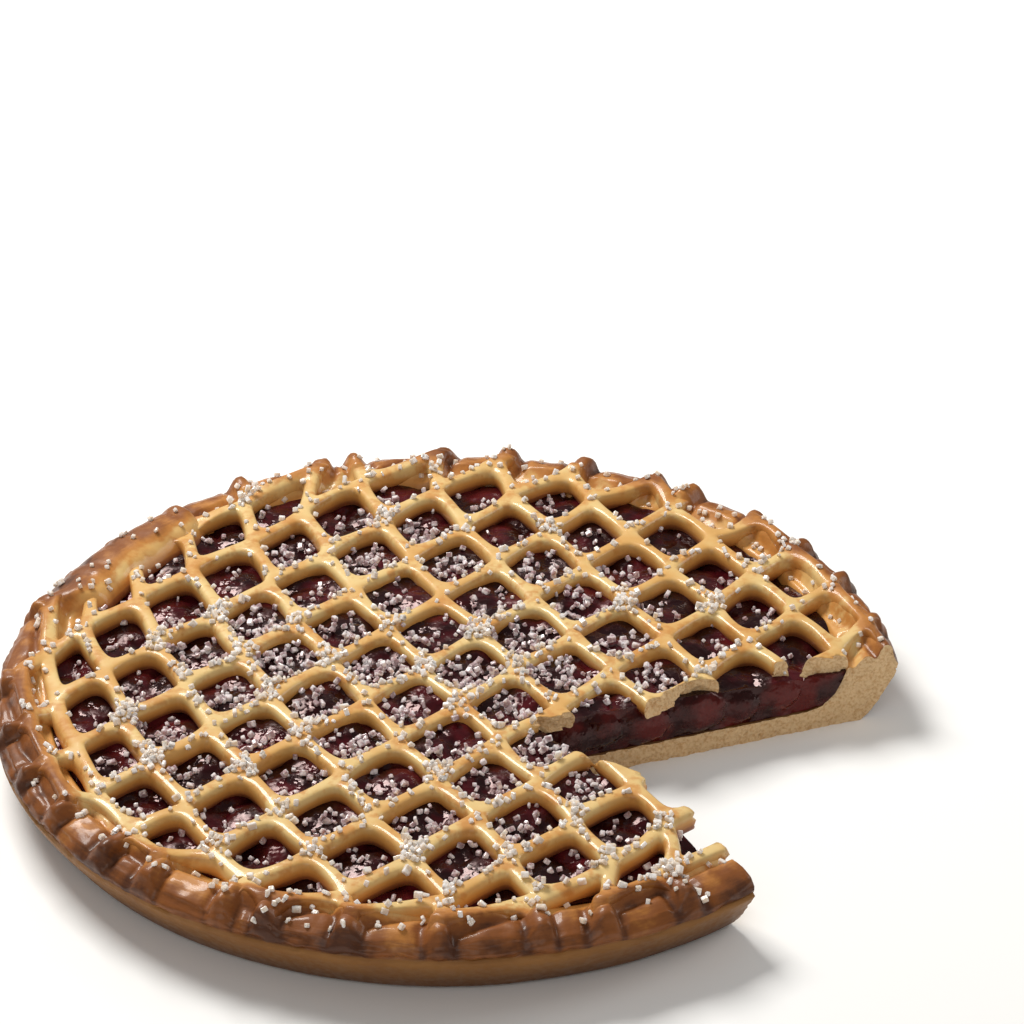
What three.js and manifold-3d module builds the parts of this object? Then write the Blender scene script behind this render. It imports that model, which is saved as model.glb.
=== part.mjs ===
// Cherry flan, 290 mm across: a low yeast-dough shell, a cherry filling, and on top a net of dough
// that was slit, pulled open and laid over filling and rim. Coarse sugar is baked on to all three.
// One wedge has been cut out. Millimetres, +Z up, origin at the centre of the base.
import * as THREE from 'three';
import { mergeVertices } from 'three/addons/utils/BufferGeometryUtils.js';
import Module from 'manifold-3d';

const wasm = await Module();
wasm.setup();

// ---- driving dimensions ----
const LIP_RADIUS = 145;            // the widest circle, the lower edge of the rim
const LIP_HEIGHT = 19.5;
const BASE_RADIUS = 134.6;
const CREST_RADIUS = 134.5;        // the ridge of the rim, under the strand ends
const CREST_HEIGHT = 25;
const BASE_THICKNESS = 7;
const FILLING_RADIUS = 126.3;      // at its top; it narrows downwards
const FILLING_HEIGHT = 20.6;       // the tops of the cherries next to the rim
const FILLING_SWELL = 1.6;         // how much higher they stand in the middle
const CHERRY = 17;                 // a cherry's width
const CHERRY_DIP = 2.6;            // how deep the surface dips between cherries
const NET_HEIGHT = 25.8;           // top of a strand over the filling
const NET_ON_RIM = 3.0;            // how far a strand stands out of the rim
const NET_OPEN = 0.75;             // a hole's size as a share of its cell
const BAR_LENGTH = 0.28;           // the short bars between two junctions, as a share of a true honeycomb's
const NET_TUCK = 6;                // how far the last strands along the front cut were pulled inwards
const GAP = 0.3;                   // between two pieces that touch
const GRAIN = 2.7;                 // a grain of sugar
const GRAIN_RISE = 1.7;            // from one grain to the one baked on top of it
const FILLING_GRID = 23;           // squares across the filling's surface
const NET_REACH = LIP_RADIUS - 1.4; // where the net is trimmed off
const NET_SPREAD = 165;            // cells whose centre lies this far out are looked at
const NET_FLAT = 122;              // further out the net is squeezed on the rim
const NET_CLIP = 148;              // where the flat net would be cut; from there each strand runs to the lip
const NET_END = LIP_RADIUS + 2;    // the ends of those strands, before the net is trimmed
const NET_SWIRL = 0.08;            // how far it was dragged round the rim at the front and the back, radians
const NET_SQUEEZE = 0.65;          // the width that is left of a cell on the rim, as a share
const NET_SQUEEZE_CHANGE = 0.10;   // less is left at the front left, more at the back right
const LIP_SLANT = 0.2;             // how much of its slant a strand keeps on the outer side of the rim
const SLIVER = 90;                 // a cell smaller than this, in mm2, stays closed
const LONG_STRAND = 10;            // a strand longer than this bends in its middle
const FOOT_SUNK = 1.5;             // the strands are laid this deep into the rim, then cut to fit it

// The missing wedge: its point and the directions of its two cut faces.
const CUT_POINT = [27, -32];
const CUT_REAR = 18.5;             // degrees from +X
const CUT_FRONT = -53.2;

// Where the net is torn off at the cut: [distance along the face, offset into the wedge].
const netRearSteps = [[0, 0], [4, 1], [20, 1], [34, 4], [42, 1], [52, -3], [66, 1], [84, -3], [104, 0], [160, 0]];
const netFrontSteps = [[0, 0], [3, -4], [20, -4], [28, -1], [40, 5], [69, 5], [78, 1], [90, 0], [160, 0]];

// The net's holes lie on a skewed grid: one step along i, one along j, how the pull changes both, and
// how the rim drags on it.
const NET_ORIGIN = [-11.8, -21.6];
const NET_STEP_I = [18.5, 19.4];
const NET_STEP_J = [11.4, -21.9];
const NET_PULL_II = [0.04, 0.20];
const NET_PULL_IJ = [0.11, -0.07];
const NET_PULL_JJ = [0.06, 0.38];
const NET_DRAG_I = [-0.048, -0.017];
const NET_DRAG_IJ = [0, -0.054];
const NET_DRAG_J = [-0.053, -0.047];

// Knuckles of the net with a heap of sugar, two grains high.
const netHeaps = [[1, -1], [-4, -2], [3, 0], [-4, -3], [1, -4], [-2, 2]];

// ---- small tools ----
const radians = THREE.MathUtils.degToRad;

function seeded(seed) {
  let state = seed;
  return () => {
    state = (Math.imul(state, 1664525) + 1013904223) >>> 0;
    return state / 4294967296;
  };
}

function bareGeometry(geometry) {
  const bare = geometry.clone();
  for (const name of ['normal', 'uv']) bare.deleteAttribute(name);
  return mergeVertices(bare, 1e-4);
}

function signedVolume(geometry) {
  const p = geometry.attributes.position;
  const corner = [new THREE.Vector3(), new THREE.Vector3(), new THREE.Vector3()];
  let sum = 0;
  for (let t = 0; t < geometry.index.count; t += 3) {
    corner.forEach((v, k) => v.fromBufferAttribute(p, geometry.index.getX(t + k)));
    sum += corner[0].dot(corner[1].cross(corner[2])) / 6;
  }
  return sum;
}

// A closed geometry as a solid, with its faces turned outwards.
function toSolid(geometry) {
  const bare = bareGeometry(geometry);
  const triVerts = Uint32Array.from(bare.index.array);
  if (signedVolume(bare) < 0) {
    for (let t = 0; t < triVerts.length; t += 3) {
      [triVerts[t + 1], triVerts[t + 2]] = [triVerts[t + 2], triVerts[t + 1]];
    }
  }
  const vertProperties = Float32Array.from(bare.attributes.position.array);
  return new wasm.Manifold(new wasm.Mesh({ numProp: 3, vertProperties, triVerts }));
}

// The triangles of the largest connected body, so that scraps left by a cut are dropped.
function withoutScraps(triangles) {
  const parent = [];
  const root = (v) => {
    while ((parent[v] ?? v) !== v) v = parent[v];
    return v;
  };
  for (let t = 0; t < triangles.length; t += 3) {
    const home = root(triangles[t]);
    parent[root(triangles[t + 1])] = home;
    parent[root(triangles[t + 2])] = home;
  }
  const bodies = new Map();
  for (let t = 0; t < triangles.length; t += 3) {
    const home = root(triangles[t]);
    if (!bodies.has(home)) bodies.set(home, []);
    bodies.get(home).push(...triangles.slice(t, t + 3));
  }
  return [...bodies.values()].sort((a, b) => b.length - a.length)[0];
}

function toGeometry(solid) {
  const mesh = solid.getMesh();
  const geometry = new THREE.BufferGeometry();
  geometry.setAttribute('position', new THREE.BufferAttribute(Float32Array.from(mesh.vertProperties), 3));
  geometry.setIndex(withoutScraps(mesh.triVerts));
  geometry.computeVertexNormals();
  return geometry;
}

function reshape(geometry, move) {
  const p = geometry.attributes.position;
  const v = new THREE.Vector3();
  for (let k = 0; k < p.count; k += 1) {
    v.fromBufferAttribute(p, k);
    move(v);
    p.setXYZ(k, v.x, v.y, v.z);
  }
  return geometry;
}

// A ring-shaped body from an outline of [radius, height] points.
function turned(outline, sides) {
  const points = outline.map(([r, z]) => new THREE.Vector2(r, z));
  return bareGeometry(new THREE.LatheGeometry(points, sides).rotateX(Math.PI / 2));
}

// ---- the shell ----
const SHELL_SIDES = 48;

// The lip was pressed down by hand, so it wanders in and out; the ridge under the net stays round.
function unevenLip(v) {
  const r = Math.hypot(v.x, v.y);
  const share = THREE.MathUtils.smoothstep(r, LIP_RADIUS - 4, LIP_RADIUS);
  const a = Math.atan2(v.y, v.x);
  const out = 0.5 * Math.sin(5 * a + 1) + 0.4 * Math.sin(11 * a + 2) + 0.3 * Math.sin(23 * a) - 0.6;
  const scale = 1 + (out * share) / Math.max(r, 1);
  v.x *= scale;
  v.y *= scale;
}

// The top of the rim from the lip inwards, moved outwards by a margin.
const rimTop = (margin) => [
  [LIP_RADIUS - 3.2 + margin, CREST_HEIGHT - 2.4 + margin],
  [CREST_RADIUS + 2.8, CREST_HEIGHT - 0.5 + margin],
  [CREST_RADIUS - 1.8, CREST_HEIGHT + margin],
  [CREST_RADIUS - 4.7, CREST_HEIGHT - 2.2 + margin],
  [FILLING_RADIUS + GAP, FILLING_HEIGHT - 0.2 + margin],
];

const shellOutside = [
  [0, 0],
  [BASE_RADIUS - 2, 0],
  [BASE_RADIUS, 1.6],
  [138.8, 8],
  [142.6, 14],
  [LIP_RADIUS - 0.4, LIP_HEIGHT - 2],
  [LIP_RADIUS, LIP_HEIGHT],
];

// How high the cherries' tops stand.
const fillingLevel = (r) => FILLING_HEIGHT + FILLING_SWELL * (1 - (r / FILLING_RADIUS) ** 2);

const fillingOutline = [
  [0, BASE_THICKNESS + GAP],
  [FILLING_RADIUS - 12.3, BASE_THICKNESS + GAP],
  [FILLING_RADIUS - 7.7, BASE_THICKNESS + 1.6],
  [FILLING_RADIUS - 3.9, BASE_THICKNESS + 6],
  [FILLING_RADIUS, FILLING_HEIGHT],
];

function shellSolid() {
  const inside = fillingOutline.slice(0, 4).reverse().map(([r, z]) => [r ? r + GAP : 0, z - GAP]);
  return toSolid(reshape(turned([...shellOutside, ...rimTop(0), ...inside], SHELL_SIDES), unevenLip));
}

// The space that the net keeps off: the rim, a gap larger, with its hollow filled.
function shellClearance() {
  const low = LIP_HEIGHT - 6;
  const outline = [[0, low], [LIP_RADIUS + 3, low], [LIP_RADIUS + 3, 16.5], ...rimTop(GAP)];
  return toSolid(turned([...outline, [0, fillingLevel(0) + 0.1]], SHELL_SIDES));
}

// ---- the wedge ----
// A face of the cut as seen from above: steps along it, each with its offset into the wedge.
function cutLine(direction, steps) {
  const along = [Math.cos(radians(direction)), Math.sin(radians(direction))];
  const inwards = direction > 0 ? [along[1], -along[0]] : [-along[1], along[0]];
  return steps.map(([s, offset]) => [
    CUT_POINT[0] + along[0] * s + inwards[0] * offset,
    CUT_POINT[1] + along[1] * s + inwards[1] * offset,
  ]);
}

function wedgeSolid(rearSteps, frontSteps) {
  const far = [[190, 40], [190, -200], [120, -200]];
  const ring = [...cutLine(CUT_REAR, rearSteps), ...far, ...cutLine(CUT_FRONT, frontSteps).reverse()];
  const shape = new THREE.Shape(ring.map(([x, y]) => new THREE.Vector2(x, y)));
  const prism = new THREE.ExtrudeGeometry(shape, { depth: 60, bevelEnabled: false });
  return toSolid(prism.translate(0, 0, -10));
}

// The offsets of a ragged edge: steps of one length, each in or out by a seeded amount.
function raggedSteps(seed, length, step, depth, start = 0) {
  const random = seeded(seed);
  const steps = [[start, 0]];
  for (let s = start + step; s < length; s += step) steps.push([s, (random() - 0.5) * 2 * depth]);
  return [...steps, [length, 0]];
}

// Cherries stand out of the filling's two cut faces, so its edge is scalloped.
function scallopedSteps(seed, length) {
  const random = seeded(seed);
  const steps = [[0, 0]];
  const share = CHERRY / 4;
  for (let s = share; s < length; s += share) {
    const round = Math.sin((s / CHERRY) * Math.PI) ** 2;
    steps.push([s, 2.2 * round * (0.4 + 0.6 * random())]);
  }
  return [...steps, [length, 0]];
}

// ---- sugar ----
function grainGeometry(x, y, z, random) {
  const grain = new THREE.BoxGeometry(GRAIN * (0.8 + 0.5 * random()), GRAIN * 0.9, GRAIN * 0.75);
  grain.rotateX((random() - 0.5) * 0.9);
  grain.rotateY((random() - 0.5) * 0.9);
  grain.rotateZ(random() * Math.PI);
  return grain.translate(x, y, z);
}

function addGrains(body, grains) {
  return grains.reduce((sum, grain) => sum.add(toSolid(grain)), body);
}

// ---- the net's grid ----
function holeCentre(i, j) {
  return [0, 1].map((k) => NET_ORIGIN[k] + NET_STEP_I[k] * i + NET_STEP_J[k] * j
    + NET_PULL_II[k] * i * i + NET_PULL_IJ[k] * i * j + NET_PULL_JJ[k] * j * j
    + NET_DRAG_I[k] * i ** 3 + NET_DRAG_IJ[k] * i * i * j + NET_DRAG_J[k] * j ** 3);
}

const polar = (r, angle) => [r * Math.cos(angle), r * Math.sin(angle)];
const mean = (...points) => [0, 1].map((k) => points.reduce((s, p) => s + p[k], 0) / points.length);
const toward = (p, q, share) => [0, 1].map((k) => p[k] + (q[k] - p[k]) * share);

// Where the wedge was lifted out along the front cut, the net's last strands were pulled inwards.
function tucked([x, y]) {
  const [dx, dy] = [x - CUT_POINT[0], y - CUT_POINT[1]];
  const [c, s] = [Math.cos(radians(CUT_FRONT)), Math.sin(radians(CUT_FRONT))];
  const share = THREE.MathUtils.smoothstep(dx * c + dy * s, 78, 90)
    * THREE.MathUtils.smoothstep(dy * c - dx * s, -20, -9);
  return [x + s * NET_TUCK * share, y - c * NET_TUCK * share];
}

// Where a point of the flat net comes to lie: over the rim it is squeezed inwards and dragged round.
function squeezed([x, y]) {
  const r = Math.hypot(x, y);
  if (r < NET_FLAT) return [x, y];
  const share = NET_SQUEEZE + (NET_SQUEEZE_CHANGE * (x + y)) / r;
  const drag = (NET_SWIRL * THREE.MathUtils.smoothstep(r, NET_FLAT, NET_REACH) * Math.abs(y)) / r;
  return polar(NET_FLAT + (r - NET_FLAT) * share, Math.atan2(y, x) - drag);
}

// Where a strand that leaves the flat net at its clipping circle reaches the lip.
function atLip(inner, outer) {
  const [near, far] = [Math.hypot(...inner), Math.hypot(...outer)];
  const crossing = toward(inner, outer, (NET_CLIP - near) / (far - near));
  const slant = Math.asin((inner[0] * crossing[1] - inner[1] * crossing[0]) / (near * NET_CLIP));
  const [x, y] = squeezed(inner);
  return polar(NET_END, Math.atan2(y, x) + slant * LIP_SLANT);
}

// The short bar between hole (i, j) and hole (i + 1, j + 1), by its two ends.
function bar(i, j) {
  const here = holeCentre(i, j);
  const across = holeCentre(i + 1, j + 1);
  const upper = mean(here, across, holeCentre(i + 1, j));
  const lower = mean(here, across, holeCentre(i, j + 1));
  const middle = mean(upper, lower);
  return {
    upper: tucked(toward(middle, upper, BAR_LENGTH)),
    lower: tucked(toward(middle, lower, BAR_LENGTH)),
  };
}

// The six junctions round a hole, anticlockwise from the right.
function junctions(i, j) {
  const right = bar(i, j);
  const left = bar(i - 1, j - 1);
  return [right.lower, right.upper, bar(i, j - 1).lower, left.upper, left.lower, bar(i - 1, j).upper];
}

// A cell of the net as it lies on the flan.
function cellOutline(i, j) {
  const corners = junctions(i, j);
  const inside = corners.map((p) => Math.hypot(...p) <= NET_CLIP);
  return corners.flatMap((p, k) => {
    const next = (k + 1) % 6;
    const points = inside[k] ? [squeezed(p)] : [];
    if (inside[k] && !inside[next]) points.push(atLip(p, corners[next]));
    if (!inside[k] && inside[next]) points.push(atLip(corners[next], p));
    return points;
  });
}

function area(outline) {
  return outline.reduce((sum, [x, y], k) => {
    const [u, v] = outline[(k + 1) % outline.length];
    return sum + (x * v - y * u) / 2;
  }, 0);
}

function cells(reach) {
  const list = [];
  for (let i = -8; i <= 8; i += 1) {
    for (let j = -8; j <= 8; j += 1) {
      if (Math.hypot(...holeCentre(i, j)) < reach) list.push([i, j]);
    }
  }
  return list;
}

// ---- what the net lies on ----
const support = [
  [FILLING_RADIUS, FILLING_HEIGHT + GAP],
  ...rimTop(0).reverse().slice(1),
  [LIP_RADIUS, LIP_HEIGHT],
  [2 * LIP_RADIUS, LIP_HEIGHT],
];

function supportHeight(r) {
  if (r < FILLING_RADIUS) return fillingLevel(r) + GAP;
  const next = support.findIndex(([radius]) => radius > r);
  const [[r0, z0], [r1, z1]] = support.slice(next - 1, next + 1);
  return THREE.MathUtils.mapLinear(r, r0, r1, z0, z1);
}

// The top of a strand: level over the filling, a rib of even height on the rim.
function strandTop(r) {
  const onRim = THREE.MathUtils.smoothstep(r, FILLING_RADIUS - 8, CREST_RADIUS - 1.5);
  return THREE.MathUtils.lerp(NET_HEIGHT, supportHeight(r) + NET_ON_RIM, onRim);
}

// The net's section round a hole: the ridge of the strands, their shoulder, their foot at the hole.
const SHOULDER = { inset: 0.66, up: 0.84 };
const FOOT = { inset: 1, up: 0 };

function netPoint(p, up) {
  const r = Math.hypot(p[0], p[1]);
  const foot = supportHeight(r) - (r > FILLING_RADIUS - 1.5 ? FOOT_SUNK : 0);
  return [p[0], p[1], foot + (strandTop(r) - foot) * up];
}

function netGeometry() {
  const positions = [];
  const index = [];
  const fan = (...corners) => {
    const first = positions.length / 3;
    positions.push(...corners.flat());
    for (let k = 1; k + 1 < corners.length; k += 1) index.push(first, first + k, first + k + 1);
  };
  const openSides = new Map();
  for (const [i, j] of cells(NET_SPREAD)) {
    const outline = cellOutline(i, j);
    if (outline.length < 3) continue;
    const closed = area(outline) < SLIVER;
    const centre = mean(...outline);
    if (closed) {
      fan(...outline.map((p) => netPoint(p, 1)).reverse());
      fan(...outline.map((p) => netPoint(p, 0)));
    }
    outline.forEach((p, k) => {
      const q = outline[(k + 1) % outline.length];
      const [topP, topQ, lowP, lowQ] = [netPoint(p, 1), netPoint(q, 1), netPoint(p, 0), netPoint(q, 0)];
      const name = [p, q].map((e) => e.map((x) => x.toFixed(4)).join()).sort().join(' ');
      if (openSides.has(name)) openSides.delete(name);
      else openSides.set(name, [topP, topQ, lowQ, lowP]);
      if (closed) return;
      const long = Math.hypot(q[0] - p[0], q[1] - p[1]) > LONG_STRAND;
      const row = long ? [p, mean(p, q), q] : [p, q];
      const at = ({ inset, up }) => row.map((e) => netPoint(toward(e, centre, inset * (1 - NET_OPEN)), up));
      const shoulder = at(SHOULDER);
      const foot = at(FOOT);
      // A top of five corners starts at the bend, so that its fan has no flat triangle.
      if (long) fan(shoulder[1], shoulder[2], topQ, topP, shoulder[0]);
      else fan(...shoulder, topQ, topP);
      for (let n = 0; n + 1 < row.length; n += 1) fan(foot[n], foot[n + 1], shoulder[n + 1], shoulder[n]);
      fan(lowP, lowQ, ...foot.reverse());
    });
  }
  // The outer edge, where no further hole follows.
  for (const side of openSides.values()) fan(...side);
  const geometry = new THREE.BufferGeometry();
  geometry.setAttribute('position', new THREE.Float32BufferAttribute(positions, 3));
  geometry.setIndex(index);
  return geometry;
}

// Is a point clear of the wedge by a margin, and on the flan?
function onFlan([x, y], margin, reach) {
  const away = (direction) => {
    const a = radians(direction);
    return -(x - CUT_POINT[0]) * Math.sin(a) + (y - CUT_POINT[1]) * Math.cos(a);
  };
  const inWedge = away(CUT_REAR) < margin && away(CUT_FRONT) > -margin;
  return !inWedge && Math.hypot(x, y) < reach;
}

// ---- the filling's surface: round cherries side by side, glazed over ----
const cherrySpots = [];
const spotRandom = seeded(7);
for (let row = -8; row <= 8; row += 1) {
  for (let k = -8; k <= 8; k += 1) {
    const x = (k + (row % 2) / 2) * CHERRY + (spotRandom() - 0.5) * 5;
    const y = row * CHERRY * 0.87 + (spotRandom() - 0.5) * 5;
    cherrySpots.push([x, y, spotRandom()]);
  }
}

function fillingSurface(x, y) {
  let crown = 0;
  for (const [cx, cy, size] of cherrySpots) {
    const d = Math.hypot(x - cx, y - cy) / (CHERRY * (0.5 + 0.12 * size));
    if (d < 1) crown = Math.max(crown, Math.sqrt(1 - d * d));
  }
  return fillingLevel(Math.hypot(x, y)) - CHERRY_DIP * (1 - crown);
}

// ---- the pieces ----
function makeShell() {
  const wedge = wedgeSolid(raggedSteps(3, 160, 9, 0.9), raggedSteps(5, 160, 7, 0.9));
  return shellSolid().subtract(wedge);
}

function makeFilling() {
  const side = 2 * (FILLING_RADIUS + 2);
  const block = new THREE.BoxGeometry(side, side, FILLING_HEIGHT, FILLING_GRID, FILLING_GRID, 1);
  block.translate(0, 0, FILLING_HEIGHT / 2);
  reshape(block, (v) => {
    if (v.z > 1) v.z = fillingSurface(v.x, v.y);
  });
  const pan = toSolid(turned([...fillingOutline, [0, 2 * FILLING_HEIGHT]], SHELL_SIDES));
  const wedge = wedgeSolid(scallopedSteps(13, 160), scallopedSteps(17, 160));
  const random = seeded(19);
  const spots = cells(FILLING_RADIUS - 12).filter(([i, j]) => (i + 2 * j) % 3)
    .map(([i, j]) => holeCentre(i, j).map((x) => x + (random() - 0.5) * 8))
    .filter((spot) => onFlan(spot, 6, FILLING_RADIUS));
  const grains = spots.map(([x, y]) => grainGeometry(x, y, fillingSurface(x, y) + 0.1, random));
  return addGrains(toSolid(block).intersect(pan).subtract(wedge), grains);
}

function netGrains() {
  const random = seeded(23);
  const grains = [];
  cells(LIP_RADIUS).forEach(([i, j], k) => {
    const { upper, lower } = bar(i, j);
    const [x, y, z] = netPoint(squeezed(toward(upper, lower, random())), 1);
    if (k % 6 === 0 && onFlan([x, y], 5, CREST_RADIUS - 4)) grains.push(grainGeometry(x, y, z, random));
  });
  for (const [i, j] of netHeaps) {
    const { upper, lower } = bar(i, j);
    const [x, y, z] = netPoint(squeezed(mean(upper, lower)), 1);
    for (const rise of [0, GRAIN_RISE]) grains.push(grainGeometry(x, y, z + rise, random));
  }
  return grains;
}

function makeNet() {
  const trim = new THREE.CylinderGeometry(NET_REACH, NET_REACH, 60, SHELL_SIDES).rotateX(Math.PI / 2);
  const wedge = wedgeSolid(netRearSteps, netFrontSteps);
  const net = toSolid(netGeometry()).subtract(shellClearance()).intersect(toSolid(trim)).subtract(wedge);
  return addGrains(net, netGrains());
}

// ---- the object ----
function piece(name, solid, color, roughness) {
  const material = new THREE.MeshStandardMaterial({ color, roughness, metalness: 0 });
  const mesh = new THREE.Mesh(toGeometry(solid), material);
  mesh.name = name;
  return mesh;
}

const flan = new THREE.Group();
flan.add(piece('crust_shell', makeShell(), 0xa8763d, 0.55));
flan.add(piece('cherry_filling', makeFilling(), 0x3a0d14, 0.15));
flan.add(piece('lattice_top', makeNet(), 0xe0b468, 0.35));

export default flan;
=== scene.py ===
# %% [markdown]
# # A cherry flan in Blender
# The flan is a low shell of yeast dough, 290 mm across, filled with cherries in glaze. On top lies a
# net of dough: a sheet that was slit and pulled open, so that its holes are six-sided. Coarse sugar is
# baked on to everything, and one wedge has been cut out.
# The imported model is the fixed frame: it says where shell, filling and net are. This notebook makes
# the pieces that are seen, each over its own node.

import math

import bpy
import numpy as np
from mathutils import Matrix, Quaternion, Vector
from mathutils.bvhtree import BVHTree
from mathutils.kdtree import KDTree


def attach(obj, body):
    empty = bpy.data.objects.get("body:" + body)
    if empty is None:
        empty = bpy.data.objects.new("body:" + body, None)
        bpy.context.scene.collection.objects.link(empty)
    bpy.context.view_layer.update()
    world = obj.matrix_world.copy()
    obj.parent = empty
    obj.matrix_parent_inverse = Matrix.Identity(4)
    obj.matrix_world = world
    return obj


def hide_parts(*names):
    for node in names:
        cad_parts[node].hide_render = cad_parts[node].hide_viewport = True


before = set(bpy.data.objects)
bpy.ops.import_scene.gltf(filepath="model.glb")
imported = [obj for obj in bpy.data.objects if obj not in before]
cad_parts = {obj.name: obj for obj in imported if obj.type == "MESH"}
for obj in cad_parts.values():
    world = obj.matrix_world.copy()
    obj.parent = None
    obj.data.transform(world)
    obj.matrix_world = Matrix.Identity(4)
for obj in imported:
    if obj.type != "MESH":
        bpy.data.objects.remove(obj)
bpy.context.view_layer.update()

# %% [markdown]
# Sizes are written in millimetres, as a baker would measure them, and multiplied by MM where Blender
# wants metres. They follow the part: the same circle at the lip, the same ridge, the same filling.

# %% Driving sizes
MM = 0.001
LIP_RADIUS = 144.4
CREST_RADIUS = 134.5  # the ridge of the rim
FILLING_RADIUS = 126.1
FILLING_HEIGHT = 20.6  # at its edge
FILLING_SWELL = 1.6  # what its middle is higher
FILLING_FOOT = 7.3
CHERRY = 17.0
CUT_POINT = np.array([27.0, -32.0])
CUT_REAR = math.radians(18.5)
CUT_FRONT = math.radians(-53.2)
CUT_MIDDLE = (CUT_REAR + CUT_FRONT) / 2
print("the wedge was", round(math.degrees(CUT_REAR - CUT_FRONT), 1), "degrees wide")

# %% [markdown]
# Every piece is shaped with Blender's own tools: a primitive is added, worked on in edit mode and
# finished with modifiers. A few helpers keep that short. Nothing may be left selected before a new
# primitive is added, because an operator works on all that is selected. Points are read and written as
# millimetres in one array, so that a rule such as "higher on the rim" is a line of arithmetic.

# %% Helpers for modelling
def start_fresh():
    """Leaves edit mode and deselects everything."""
    if bpy.context.mode != "OBJECT":
        bpy.ops.object.mode_set(mode="OBJECT")
    bpy.ops.object.select_all(action="DESELECT")


def select_only(*objects):
    start_fresh()
    for thing in objects:
        thing.select_set(True)
    bpy.context.view_layer.objects.active = objects[0]


def apply_modifier(piece, kind, **settings):
    select_only(piece)
    modifier = piece.modifiers.new(kind.lower(), kind)
    for name, value in settings.items():
        setattr(modifier, name, value)
    bpy.ops.object.modifier_apply(modifier=modifier.name)


def points_of(piece):
    """The piece's vertices in millimetres, as rows of x, y, z."""
    flat = np.empty(len(piece.data.vertices) * 3)
    piece.data.vertices.foreach_get("co", flat)
    return flat.reshape(-1, 3) / MM


def move_points(piece, points):
    piece.data.vertices.foreach_set("co", (points * MM).ravel())
    piece.data.update()


def edit(piece):
    select_only(piece)
    bpy.ops.object.mode_set(mode="EDIT")
    bpy.ops.mesh.select_all(action="SELECT")


def finish_edit(smooth=True):
    """Turns every face outwards and goes back to object mode."""
    bpy.ops.mesh.select_all(action="SELECT")
    bpy.ops.mesh.normals_make_consistent(inside=False)
    bpy.ops.object.mode_set(mode="OBJECT")
    if smooth:
        bpy.ops.object.shade_smooth()


def report(piece):
    piece.data.calc_loop_triangles()
    print(f"{piece.name}: {len(piece.data.loop_triangles)} triangles")


start_fresh()
print("nothing is selected:", not bpy.context.selected_objects)

# %% [markdown]
# Nothing baked is even. Two kinds of unevenness are used all over: a few sine waves round the rim, and
# a soft seeded noise in the plane. The noise is a grid of random numbers, blended smoothly, so that
# the same seed gives the same flan on every run. Many things also change gradually from one radius to
# another, which smoothstep does.

# %% Helpers for unevenness
NOISE_GRID = 64


def smoothstep(x, low, high):
    """0 below low, 1 above high, and a soft rise between them."""
    share = np.clip((x - low) / (high - low), 0, 1)
    return share * share * (3 - 2 * share)


def soft_noise(x, y, cell, seed):
    """Smooth noise between -1 and 1 with bumps about one cell wide."""
    grid = np.random.default_rng(seed).uniform(-1, 1, (NOISE_GRID, NOISE_GRID))
    u = np.asarray(x, float) / cell + NOISE_GRID / 2
    v = np.asarray(y, float) / cell + NOISE_GRID / 2
    i, j = np.floor(u).astype(int), np.floor(v).astype(int)
    s, t = smoothstep(u - i, 0, 1), smoothstep(v - j, 0, 1)

    def corner(di, dj):
        return grid[(i + di) % NOISE_GRID, (j + dj) % NOISE_GRID]

    low = corner(0, 0) * (1 - s) + corner(1, 0) * s
    high = corner(0, 1) * (1 - s) + corner(1, 1) * s
    return low * (1 - t) + high * t


def inside_wedge(x, y):
    """How far a point lies inside the missing wedge, in millimetres: negative on the flan."""
    dx, dy = np.asarray(x) - CUT_POINT[0], np.asarray(y) - CUT_POINT[1]
    below_rear = dx * math.sin(CUT_REAR) - dy * math.cos(CUT_REAR)
    above_front = -dx * math.sin(CUT_FRONT) + dy * math.cos(CUT_FRONT)
    return np.minimum(below_rear, above_front)


print("the middle of the flan is", round(-float(inside_wedge(0, 0)), 1), "mm from the wedge")

# %% [markdown]
# ## The camera, the floor and the light
# The photograph was taken with a long lens from a third of the way up: a lens of 123 mm on a 36 mm
# sensor, a little over a metre away. The camera comes first, so that every piece can be judged from
# where it will be seen.

# %% Camera
CAMERA_PLACE = Vector((0.0, -0.934, 0.620))
CAMERA_AIM = Vector((0.0230, 0.1391, 0.0))
CAMERA_ROLL = math.radians(-0.21)
FOCAL_PIXELS = 3500
PICTURE_PIXELS = 1024

camera_data = bpy.data.cameras.new("camera")
camera_data.sensor_width = 36
camera_data.lens = FOCAL_PIXELS / PICTURE_PIXELS * camera_data.sensor_width
camera = bpy.data.objects.new("camera", camera_data)
bpy.context.scene.collection.objects.link(camera)
camera.location = CAMERA_PLACE
camera.rotation_mode = "QUATERNION"
looking = (CAMERA_AIM - CAMERA_PLACE).to_track_quat("-Z", "Y")
camera.rotation_quaternion = looking @ Quaternion((0, 0, 1), CAMERA_ROLL)
bpy.context.scene.camera = camera
print("camera is", round(CAMERA_PLACE.length, 3), "m from the middle of the flan")

# %% [markdown]
# The floor is a plain pale sheet, wide enough to fill the picture. It is stage, not a part of the flan.

# %% Floor
FLOOR_SIZE = 6.0

start_fresh()
bpy.ops.mesh.primitive_plane_add(size=FLOOR_SIZE, location=(0, 0, 0))
floor = bpy.context.object
floor.name = "floor"
print("floor:", FLOOR_SIZE, "m wide")

# %% [markdown]
# The light is a soft studio: one large panel behind and to the left, which draws the long glints on
# the strands, a smaller one on the right and a wide weak one from the front, so that the sides of the
# strands stay readable. All three point at the middle of the flan. The world adds an even white.

# %% Lights and picture settings
WORLD_COLOUR = (1.0, 0.99, 0.97, 1)
WORLD_STRENGTH = 0.24


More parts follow.
